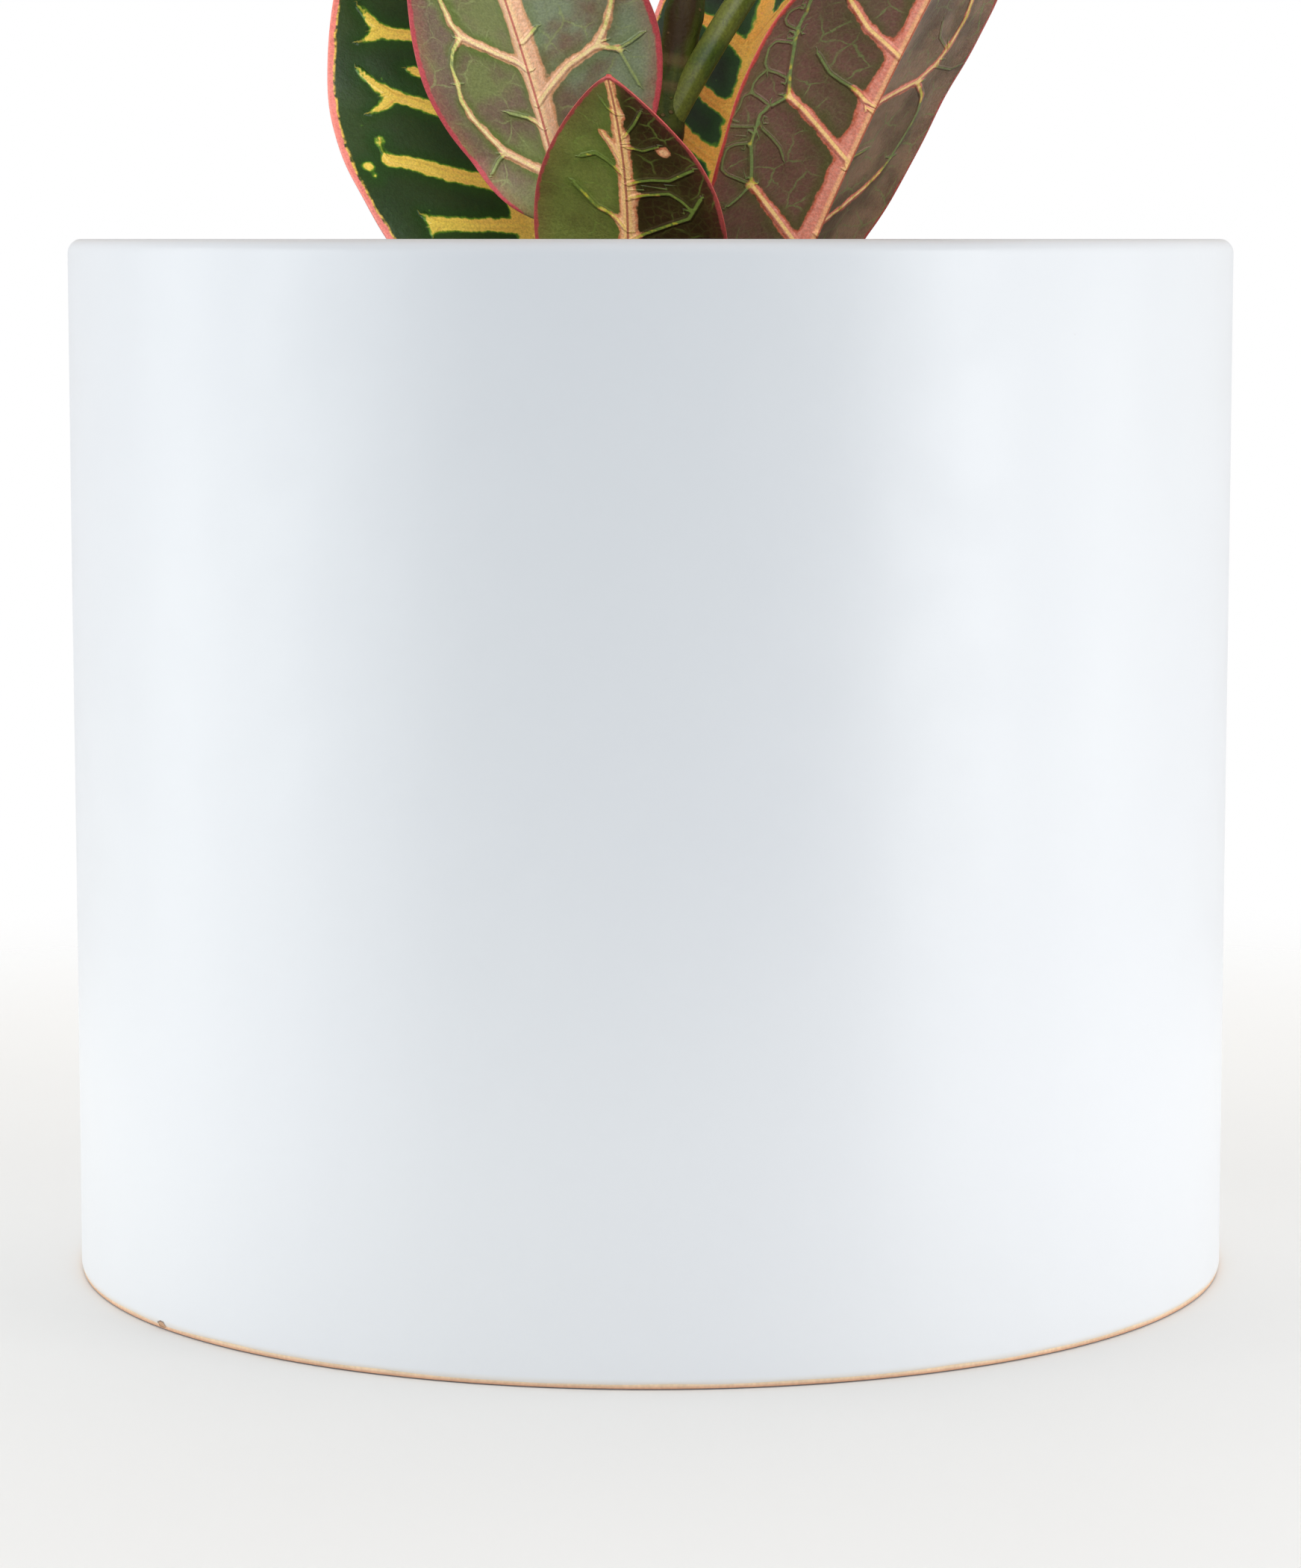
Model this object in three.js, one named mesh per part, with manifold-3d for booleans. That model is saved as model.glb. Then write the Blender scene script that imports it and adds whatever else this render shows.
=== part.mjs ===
import * as THREE from "three";
import { mergeVertices } from "three/addons/utils/BufferGeometryUtils.js";
import Module from "manifold-3d";

// A potted croton in millimetres, +Z up. The origin is the centre of the pot's flat base.
// Three rooted cuttings stand in plain holes in the soil. Each leafy stem is one solid: a woody stem
// with its leaves sunk into it. Angles are in degrees, and an azimuth counts from +X towards +Y.

// Pot: a straight-sided cylinder with a rounded rim and a flat base.
const POT_RADIUS = 100;
const POT_HEIGHT = 178;
const POT_WALL = 6;
const POT_FLOOR = 10;
const RIM_ROUND = 2.4;
const FOOT_CHAMFER = 0.8;
const INNER_FILLET = 9;
const POT_SIDES = 64;

// Soil: fills the pot up to a low dome, with one hole for each stem. Its facets stay clear of the pot's.
const SOIL_LEVEL = 130;
const SOIL_DOME = 3;
const SOIL_DOME_SHARES = [1, 0.75, 0.4, 0];
const SOIL_SIDES = 48;
const SOIL_CLEARANCE = 0.7;
const GAP = 0.3;
const STEM_DEPTH = 36;
const BORE_ABOVE_SOIL = 20;

// Stem section.
const STEM_FOOT_RADIUS = 4.3;
const STEM_TOP_RADIUS = 1.9;
const STEM_SIDES = 8;
const STEM_RINGS = 12;

// Blade section. A stalk runs from the stem into the blade, where it goes on as the keel of the midrib.
const BLADE_THICKNESS = 0.8;
const KEEL_SHARE = 0.032;
const KEEL_AT_TIP = 0.1;
const STALK_AT_TIP = 0.3;
const STALK_FLATNESS = 0.9;
const BLADE_FULLNESS = 0.8;
const BLEND_LENGTH = 0.16;
const WAVE_SHIFT = 0.37; // the wave of one edge runs this much of a turn ahead of the other's
const STALK_STATIONS = [0, 0.55];
const BLADE_STATIONS = [0, 0.07, 0.21, 0.37, 0.53, 0.69, 0.86, 1];
const SMALL_BLADE_STATIONS = [0, 0.12, 0.36, 0.62, 0.86, 1];
const ACROSS = [1, 0.5, 0, -0.5, -1];

// The fan of large leaves on each stem, from its lowest to its highest, and the tuft at its tip.
const GOLDEN_ANGLE = 137.508;
const WIDTH_SHARE = 0.42;
const FAN_COUNT = 11;
const FAN_ALONG = [0.46, 0.9];
const FAN_SPREAD = [0.42, 0.62];
const FAN_ELEVATION = [46, 60];
const FAN_DROOP = [30, 16];
const FAN_LENGTH = [138, 98];
const FAN_PETIOLE = [30, 16];
const TUFT_COUNT = 6;
const TUFT_ALONG = [0.93, 0.99];
const TUFT_ELEVATION = [62, 82];
const TUFT_LENGTH = [80, 40];
const TUFT_PETIOLE = [9, 4];
const TUFT_WIDTH_SHARE = [WIDTH_SHARE, 0.3];
const TUFT_DROOP = 8;
const TUFT_WAVE = 0.8;

// How far a single leaf may stray from those rules, each way. Length and width stray by a share.
const FAN_STRAY = { length: 0.07, azimuth: 4, elevation: 3, droop: 4, turn: 14, roll: 8, width: 0.05 };
const TUFT_STRAY = { azimuth: 6, droop: 4, turn: 10 };
const FIRST_SEED = 21;

const LEAF_DEFAULTS = {
  turn: 0,
  droop: 0,
  roll: 0,
  fold: 13,
  widest: 0.46,
  wave: 1.4,
  waves: 2.5,
  phase: 0,
  stalk: 0.042,
  small: false,
};

// Each stem is a cubic curve that starts upright at the soil. Its low leaves are set one by one.
const STEMS = [
  {
    name: "leafy_stem_back",
    outward: 72,
    spread: 1.15,
    start: 20,
    path: [[-5, 14, 134], [-5, 14, 190], [18, 28, 236], [26, 52, 398]],
    low: [
      {
        along: 0.01, azimuth: 132, elevation: 62.5, turn: -3, droop: 4.5, roll: -24, fold: 5.5,
        length: 110, width: 60.5, petiole: 20, widest: 0.44,
      },
      {
        along: 0.07, azimuth: 53, elevation: 60, turn: 9, droop: -3, fold: 12,
        length: 104, width: 44, petiole: 20, widest: 0.45,
      },
      { along: 0.12, azimuth: 175, elevation: 68, droop: 16, length: 104, width: 44.7, petiole: 20 },
      {
        along: 0.36, azimuth: 5, elevation: 62, turn: 20, droop: 26,
        length: 104, width: 48, petiole: 36, stalk: 0.05,
      },
    ],
  },
  {
    name: "leafy_stem_left",
    outward: 192,
    spread: 1,
    start: 150,
    path: [[-9, -6, 134], [-9, -6, 185], [-28, -8, 262], [-54, -14, 382]],
    low: [
      {
        along: 0.04, azimuth: -86, elevation: 54.5, turn: -36, droop: 12.5, roll: -14, fold: 3,
        length: 69, width: 33, petiole: 16.5, widest: 0.49, wave: 0.4,
      },
      {
        along: 0.19, azimuth: -117.5, elevation: 59, turn: -25, droop: 4, roll: 14, fold: 18,
        length: 80, width: 44.5, petiole: 17, widest: 0.4, wave: 0.5,
      },
    ],
  },
  {
    name: "leafy_stem_right",
    outward: -38,
    spread: 1,
    start: 300,
    path: [[14, -5, 134], [14, -5, 182], [46, -28, 255], [60, -46, 366]],
    low: [
      {
        along: 0.09, azimuth: -53.5, elevation: 58, turn: 4, droop: 13, roll: 5, fold: 13,
        length: 119, width: 50, petiole: 15.5, widest: 0.41, wave: 0.8,
      },
      { along: 0.16, azimuth: 6, elevation: 61, droop: 4, length: 106, width: 46, petiole: 20 },
    ],
  },
];

const wasm = await Module();
wasm.setup();

const toRadians = THREE.MathUtils.degToRad;
const lerp = THREE.MathUtils.lerp;

// ---- Solids ----

function solidOf(geometry) {
  geometry.deleteAttribute("normal");
  geometry.deleteAttribute("uv");
  const merged = mergeVertices(geometry, 1e-4);
  return new wasm.Manifold(
    new wasm.Mesh({
      numProp: 3,
      vertProperties: merged.attributes.position.array,
      triVerts: new Uint32Array(merged.index.array),
    }),
  );
}

function meshOf(name, solid, material) {
  const { vertProperties, triVerts } = solid.getMesh();
  const geometry = new THREE.BufferGeometry();
  geometry.setAttribute("position", new THREE.BufferAttribute(vertProperties, 3));
  geometry.setIndex(new THREE.BufferAttribute(triVerts, 1));
  const mesh = new THREE.Mesh(geometry, material);
  mesh.name = name;
  return mesh;
}

// A solid of revolution about +Z from a profile of [radius, height] that starts and ends on the axis.
function revolved(profile, sides) {
  const points = profile.map(([radius, height]) => new THREE.Vector2(radius, height));
  return solidOf(new THREE.LatheGeometry(points, sides).rotateX(Math.PI / 2));
}

// Points of [radius, height] along an arc about a centre, both of its ends included.
function arc(centreRadius, centreHeight, size, from, to, steps) {
  return Array.from({ length: steps + 1 }, (_, i) => {
    const angle = toRadians(lerp(from, to, i / steps));
    return [centreRadius + size * Math.cos(angle), centreHeight + size * Math.sin(angle)];
  });
}

// A closed skin through rings that all have the same number of points, with both ends capped.
function lofted(rings) {
  const around = rings[0].length;
  const positions = rings.flat().flatMap((point) => point.toArray());
  const index = [];
  for (let ring = 0; ring < rings.length - 1; ring++) {
    for (let i = 0; i < around; i++) {
      const a = ring * around + i;
      const b = ring * around + ((i + 1) % around);
      // Both faces of a blade are split along the same diagonal, so that a wave doesn't make them cross.
      if (i < around / 2) index.push(a, b, b + around, a, b + around, a + around);
      else index.push(a, b, a + around, b, b + around, a + around);
    }
  }
  const last = (rings.length - 1) * around;
  for (let near = 0; near < around / 2 - 1; near++) {
    const far = around - 1 - near;
    index.push(near, far, near + 1, near + 1, far, far - 1);
    index.push(last + near, last + near + 1, last + far, last + near + 1, last + far - 1, last + far);
  }
  const geometry = new THREE.BufferGeometry();
  geometry.setAttribute("position", new THREE.Float32BufferAttribute(positions, 3));
  geometry.setIndex(index);
  return solidOf(geometry);
}

// ---- Pot and soil ----

function pot() {
  const innerRadius = POT_RADIUS - POT_WALL;
  const rimCentre = POT_HEIGHT - RIM_ROUND;
  return revolved(
    [
      [0, 0],
      [POT_RADIUS - FOOT_CHAMFER, 0],
      [POT_RADIUS, FOOT_CHAMFER],
      ...arc(POT_RADIUS - RIM_ROUND, rimCentre, RIM_ROUND, 0, 90, 2),
      ...arc(innerRadius + RIM_ROUND, rimCentre, RIM_ROUND, 90, 180, 2),
      ...arc(innerRadius - INNER_FILLET, POT_FLOOR + INNER_FILLET, INNER_FILLET, 0, -90, 2),
      [0, POT_FLOOR],
    ],
    POT_SIDES,
  );
}

function soil() {
  const radius = POT_RADIUS - POT_WALL - SOIL_CLEARANCE;
  const bottom = POT_FLOOR + GAP;
  const body = revolved(
    [
      [0, bottom],
      ...arc(radius - INNER_FILLET, bottom + INNER_FILLET, INNER_FILLET, -90, 0, 2),
      ...SOIL_DOME_SHARES.map((share) => [radius * share, SOIL_LEVEL - SOIL_DOME * share ** 2]),
    ],
    SOIL_SIDES,
  );
  return STEMS.reduce((solid, stem) => solid.subtract(stemBore(stem.path[0])), body);
}

// The hole that a stem stands in: its sides face the stem's own sides.
function stemBore([x, y]) {
  const radius = STEM_FOOT_RADIUS + GAP;
  const length = STEM_DEPTH + GAP + BORE_ABOVE_SOIL;
  const bore = new THREE.CylinderGeometry(radius, radius, length, STEM_SIDES);
  bore.rotateX(Math.PI / 2);
  bore.rotateZ(Math.PI / 2);
  bore.translate(x, y, SOIL_LEVEL + BORE_ABOVE_SOIL - length / 2);
  return solidOf(bore);
}

// ---- Leafy stems ----

function direction(azimuth, elevation) {
  const flat = Math.cos(toRadians(elevation));
  return new THREE.Vector3(
    flat * Math.cos(toRadians(azimuth)),
    flat * Math.sin(toRadians(azimuth)),
    Math.sin(toRadians(elevation)),
  );
}

function stemCurve(stem) {
  return new THREE.CubicBezierCurve3(...stem.path.map((point) => new THREE.Vector3(...point)));
}

function stemRing(centre, forward, radius) {
  const side = new THREE.Vector3(1, 0, 0).addScaledVector(forward, -forward.x).normalize();
  const front = new THREE.Vector3().crossVectors(forward, side);
  return Array.from({ length: STEM_SIDES }, (_, i) => {
    const angle = (2 * Math.PI * i) / STEM_SIDES;
    return centre
      .clone()
      .addScaledVector(side, radius * Math.cos(angle))
      .addScaledVector(front, radius * Math.sin(angle));
  });
}

function stemSolid(stem) {
  const curve = stemCurve(stem);
  const foot = curve.getPoint(0).setZ(SOIL_LEVEL - STEM_DEPTH);
  const rings = [stemRing(foot, curve.getTangent(0), STEM_FOOT_RADIUS)];
  for (let i = 0; i <= STEM_RINGS; i++) {
    const along = i / STEM_RINGS;
    const radius = lerp(STEM_FOOT_RADIUS, STEM_TOP_RADIUS, along);
    rings.push(stemRing(curve.getPoint(along), curve.getTangent(along), radius));
  }
  return lofted(rings);
}

// The midrib starts on the stem's axis and bends by its turn and droop from the stalk to the tip.
function midrib(leaf, root) {
  const { azimuth, elevation, turn, droop, petiole, length } = leaf;
  const third = (petiole + length) / 3;
  const points = [root.clone()];
  for (const bend of [-0.5, 0, 0.5]) {
    const heading = direction(azimuth + bend * turn, elevation - (bend + 0.5) * droop);
    points.push(points.at(-1).clone().addScaledVector(heading, third));
  }
  return new THREE.CubicBezierCurve3(...points);
}

function halfWidth(leaf, u) {
  const warp = Math.log(0.5) / Math.log(leaf.widest);
  return (leaf.width / 2) * Math.max(Math.sin(Math.PI * u ** warp), 0) ** BLADE_FULLNESS;
}

// One ring of the leaf: the upper face from edge to edge, then the lower face back.
// It lies at a share along the midrib, where the blade is at its own share u from base to tip.
function leafRing(leaf, curve, along, u) {
  const point = curve.getPoint(along);
  const forward = curve.getTangent(along);
  const heading = toRadians(leaf.azimuth + leaf.turn * (along - 0.5));
  const level = new THREE.Vector3(-Math.sin(heading), Math.cos(heading), 0);
  level.addScaledVector(forward, -forward.dot(level)).normalize();
  const side = level.applyAxisAngle(forward, toRadians(leaf.roll));
  const up = new THREE.Vector3().crossVectors(forward, side);
  const stalk = leaf.width * leaf.stalk * lerp(1, STALK_AT_TIP, u);
  const keel = leaf.width * KEEL_SHARE * lerp(1, KEEL_AT_TIP, u);
  const width = Math.max(stalk, halfWidth(leaf, u));
  const flat = THREE.MathUtils.smoothstep(u, 0, BLEND_LENGTH);
  const fold = toRadians(leaf.fold) * flat;
  const upper = [];
  const lower = [];
  for (const v of ACROSS) {
    const swing = leaf.waves * u + leaf.phase + (v > 0 ? WAVE_SHIFT : 0);
    const wave = leaf.wave * Math.sin(2 * Math.PI * swing) * v * v * Math.sin(Math.PI * u);
    const middle = point
      .clone()
      .addScaledVector(side, v * width * Math.cos(fold))
      .addScaledVector(up, Math.abs(v) * width * Math.sin(fold) + wave);
    const round = stalk * Math.sqrt(1 - STALK_FLATNESS * v * v);
    const above = lerp(round, BLADE_THICKNESS / 2, flat);
    const below = v === 0 ? lerp(round, BLADE_THICKNESS / 2 + keel, flat) : above;
    upper.push(middle.clone().addScaledVector(up, above));
    lower.unshift(middle.clone().addScaledVector(up, -below));
  }
  return [...upper, ...lower];
}

function leafSolid(leaf, root) {
  const curve = midrib(leaf, root);
  const start = leaf.petiole / (leaf.petiole + leaf.length);
  const stations = leaf.small ? SMALL_BLADE_STATIONS : BLADE_STATIONS;
  return lofted([
    ...STALK_STATIONS.map((share) => leafRing(leaf, curve, share * start, 0)),
    ...stations.map((u) => leafRing(leaf, curve, lerp(start, 1, u), u)),
  ]);
}

// A seeded random draw, so that each build grows the same leaves.
let seed = FIRST_SEED;
function draw(low, high) {
  seed = (Math.imul(seed, 1664525) + 1013904223) >>> 0;
  return lerp(low, high, seed / 2 ** 32);
}

function stray(most) {
  return draw(-most, most);
}

// An angle brought to between -180 and 180.
function wrapped(angle) {
  return angle - 360 * Math.round(angle / 360);
}

function fanLeaf(stem, i) {
  const share = i / (FAN_COUNT - 1);
  const length = lerp(...FAN_LENGTH, share) * (1 + stray(FAN_STRAY.length));
  const aside = stem.spread * lerp(...FAN_SPREAD, share) * wrapped(stem.start + i * GOLDEN_ANGLE);
  return {
    ...LEAF_DEFAULTS,
    along: lerp(...FAN_ALONG, share),
    azimuth: stem.outward + aside + stray(FAN_STRAY.azimuth),
    elevation: lerp(...FAN_ELEVATION, share) + stray(FAN_STRAY.elevation),
    droop: lerp(...FAN_DROOP, share) + stray(FAN_STRAY.droop),
    turn: stray(FAN_STRAY.turn),
    roll: stray(FAN_STRAY.roll),
    petiole: lerp(...FAN_PETIOLE, share),
    length,
    width: length * WIDTH_SHARE * (1 + stray(FAN_STRAY.width)),
    phase: draw(0, 1),
  };
}

function tuftLeaf(stem, i) {
  const share = i / (TUFT_COUNT - 1);
  const length = lerp(...TUFT_LENGTH, share);
  return {
    ...LEAF_DEFAULTS,
    small: true,
    along: lerp(...TUFT_ALONG, share),
    azimuth: stem.outward + 180 + i * GOLDEN_ANGLE + stray(TUFT_STRAY.azimuth),
    elevation: lerp(...TUFT_ELEVATION, share),
    droop: TUFT_DROOP + stray(TUFT_STRAY.droop),
    turn: stray(TUFT_STRAY.turn),
    petiole: lerp(...TUFT_PETIOLE, share),
    length,
    width: length * lerp(...TUFT_WIDTH_SHARE, share),
    wave: TUFT_WAVE,
    phase: draw(0, 1),
  };
}

function leavesOf(stem) {
  return [
    ...stem.low.map((leaf) => ({ ...LEAF_DEFAULTS, ...leaf })),
    ...Array.from({ length: FAN_COUNT }, (_, i) => fanLeaf(stem, i)),
    ...Array.from({ length: TUFT_COUNT }, (_, i) => tuftLeaf(stem, i)),
  ];
}

function leafyStem(stem) {
  const curve = stemCurve(stem);
  return leavesOf(stem).reduce(
    (solid, leaf) => solid.add(leafSolid(leaf, curve.getPoint(leaf.along))),
    stemSolid(stem),
  );
}

// ---- The part ----

const ceramic = new THREE.MeshStandardMaterial({ color: 0xe6eaee, roughness: 0.55, metalness: 0 });
const earth = new THREE.MeshStandardMaterial({ color: 0x3a2a20, roughness: 1, metalness: 0 });
const foliageColours = [0x4c5a2a, 0x7d7f50, 0x664a3b];

const group = new THREE.Group();
group.add(meshOf("pot", pot(), ceramic));
group.add(meshOf("soil", soil(), earth));
STEMS.forEach((stem, i) => {
  const foliage = new THREE.MeshStandardMaterial({ color: foliageColours[i], roughness: 0.4, metalness: 0 });
  group.add(meshOf(stem.name, leafyStem(stem), foliage));
});

export default group;
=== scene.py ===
"""A potted croton: white glazed pot, potting mix and three leafy cuttings, dressed for a studio picture.

Sizes are in millimetres and angles in degrees; meshes are written in metres. +Z is up, and the picture looks
along +Y. An azimuth counts from +X towards +Y.
"""

import logging
import math
from collections.abc import Callable
from dataclasses import dataclass, replace
from enum import Enum

import bmesh
import bpy
import numpy as np
from mathutils import Euler, Matrix, Vector, noise


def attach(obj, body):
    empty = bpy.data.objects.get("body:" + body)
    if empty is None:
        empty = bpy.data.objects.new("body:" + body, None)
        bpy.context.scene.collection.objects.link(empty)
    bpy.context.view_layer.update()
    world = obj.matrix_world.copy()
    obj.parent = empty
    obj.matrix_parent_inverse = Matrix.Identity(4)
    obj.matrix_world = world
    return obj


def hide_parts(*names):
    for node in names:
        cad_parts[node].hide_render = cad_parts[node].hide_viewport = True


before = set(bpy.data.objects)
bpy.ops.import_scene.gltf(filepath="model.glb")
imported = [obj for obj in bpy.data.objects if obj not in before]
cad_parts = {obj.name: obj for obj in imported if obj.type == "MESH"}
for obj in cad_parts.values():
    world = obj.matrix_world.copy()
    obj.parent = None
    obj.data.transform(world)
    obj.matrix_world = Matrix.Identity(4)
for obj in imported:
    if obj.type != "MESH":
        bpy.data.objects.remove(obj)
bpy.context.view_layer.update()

log = logging.getLogger("croton")

MM = 0.001
GOLDEN_ANGLE = 137.508


def lerp(low: float, high: float, share: float) -> float:
    """The value at a share of the way from low to high."""
    return low + (high - low) * share


def smoothstep(value: np.ndarray, low: float, high: float) -> np.ndarray:
    """0 below low, 1 above high and a soft step between them."""
    share = np.clip((value - low) / (high - low), 0, 1)
    return share * share * (3 - 2 * share)


def wrapped(angle: float) -> float:
    """An angle brought to between -180 and 180, as the leaf rule rounds it."""
    return angle - 360 * math.floor(angle / 360 + 0.5)


class Dice:
    """The seeded draws that place the leaves, one after another."""

    def __init__(self, seed: int) -> None:
        """Starts the row of draws from a seed."""
        self.state = seed

    def draw(self, low: float, high: float) -> float:
        """The next number between low and high."""
        self.state = (self.state * 1664525 + 1013904223) % 2**32
        return lerp(low, high, self.state / 2**32)

    def stray(self, most: float) -> float:
        """The next number between -most and most."""
        return self.draw(-most, most)


# ---- Finishes ----


def paint(red: int, green: int, blue: int) -> tuple[float, float, float, float]:
    """A colour as seen on screen, turned into the light that a shader works with.

    Args:
        red, green, blue: the colour's channels, 0 to 255.

    Returns:
        Linear red, green, blue and an alpha of 1.
    """
    screen = [channel / 255 for channel in (red, green, blue)]
    linear = [c / 12.92 if c <= 0.04045 else ((c + 0.055) / 1.055) ** 2.4 for c in screen]
    return (*linear, 1.0)


Colour = tuple[float, float, float, float]
Socket = bpy.types.NodeSocket
Feed = Socket | float | tuple[float, ...]


class Nodes:
    """Shader nodes in the making: short calls that add a node each and return its output."""

    def __init__(self, tree: bpy.types.NodeTree) -> None:
        """Keeps the tree that the nodes go into."""
        self.tree = tree

    def feed(self, socket: Socket, value: Feed) -> None:
        """Joins an output to a socket, or sets the socket to a value.

        Args:
            socket: the input that is fed.
            value: an output, a number or a colour.
        """
        if isinstance(value, Socket):
            self.tree.links.new(value, socket)
        else:
            socket.default_value = value

    def node(self, kind: str, feeds: dict[str | int, Feed], **settings: str) -> bpy.types.Node:
        """Adds a shader node.

        Args:
            kind: the node's type without its ShaderNode prefix.
            feeds: what goes into each input, by name or number.
            settings: the node's own options.

        Returns:
            The new node.
        """
        node = self.tree.nodes.new("ShaderNode" + kind)
        for option, value in settings.items():
            setattr(node, option, value)
        for socket, value in feeds.items():
            self.feed(node.inputs[socket], value)
        return node

    def math(self, operation: str, first: Feed, second: Feed = 0.0) -> Socket:
        """One step of arithmetic."""
        return self.node("Math", {0: first, 1: second}, operation=operation).outputs[0]

    def plus(self, first: Feed, second: Feed) -> Socket:
        """Two numbers added."""
        return self.math("ADD", first, second)

    def times(self, first: Feed, second: Feed) -> Socket:
        """Two numbers multiplied."""
        return self.math("MULTIPLY", first, second)

    def ramp(self, value: Feed, low: float, high: float, bottom: float = 0.0, top: float = 1.0) -> Socket:
        """A soft step from bottom at low to top at high; low may be the larger one."""
        feeds = {"Value": value, "From Min": low, "From Max": high, "To Min": bottom, "To Max": top}
        return self.node("MapRange", feeds, interpolation_type="SMOOTHSTEP").outputs[0]

    def blend(self, share: Feed, first: Feed, second: Feed) -> Socket:
        """A colour mixed from first to second."""
        return self.node("Mix", {0: share, 6: first, 7: second}, data_type="RGBA").outputs[2]

    def shade(self, colour: Feed, factor: Feed) -> Socket:
        """A colour made brighter or darker by a factor."""
        return self.node("VectorMath", {0: colour, "Scale": factor}, operation="SCALE").outputs[0]

    def stretched(self, place: Socket, factors: tuple[float, float, float]) -> Socket:
        """A place with each of its three numbers multiplied by a factor of its own."""
        return self.node("VectorMath", {0: place, 1: factors}, operation="MULTIPLY").outputs[0]

    def length(self, place: Socket) -> Socket:
        """How far a place lies from the origin."""
        return self.node("VectorMath", {0: place}, operation="LENGTH").outputs["Value"]

    def axes(self, place: Socket) -> list[Socket]:
        """The three numbers of a place or of a colour."""
        return list(self.node("SeparateXYZ", {0: place}).outputs)

    def noise(self, place: Socket, scale: float, detail: float = 2.0, rough: float = 0.5) -> Socket:
        """Soft noise from 0 to 1, with a number of spots per unit of place."""
        feeds = {"Vector": place, "Scale": scale, "Detail": detail, "Roughness": rough}
        return self.node("TexNoise", feeds).outputs[0]

    def attribute(self, name: str, output: str = "Fac") -> Socket:
        """A value that the mesh carries."""
        return self.node("Attribute", {}, attribute_name=name).outputs[output]

    def place(self) -> Socket:
        """Where a point lies on the object, in metres."""
        return self.node("TexCoord", {}).outputs["Object"]

    def bump(self, height: Feed, depth: float, under: Socket | None = None) -> Socket:
        """A relief from a height, laid over an earlier one.

        Args:
            height: the relief, where 1 stands out by the depth.
            depth: the relief's depth in metres.
            under: the normal that it is laid over, if any.

        Returns:
            The new normal.
        """
        feeds = {"Height": height, "Distance": depth, "Strength": 1.0}
        if under is not None:
            feeds["Normal"] = under
        return self.node("Bump", feeds).outputs[0]


class Recipe(Nodes):
    """A material in the making."""

    def __init__(self, name: str) -> None:
        """Starts a material from a plain Principled shader.

        Args:
            name: the material's name.
        """
        self.material = bpy.data.materials.new(name)
        self.material.use_nodes = True
        super().__init__(self.material.node_tree)
        self.shader = self.tree.nodes["Principled BSDF"]

    def finish(self, **sockets: Feed) -> bpy.types.Material:
        """Feeds the shader and returns the finished material.

        Args:
            sockets: what goes into each input, by its name with underscores for blanks.

        Returns:
            The material.
        """
        for name, value in sockets.items():
            self.feed(self.shader.inputs[name.replace("_", " ")], value)
        return self.material


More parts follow.
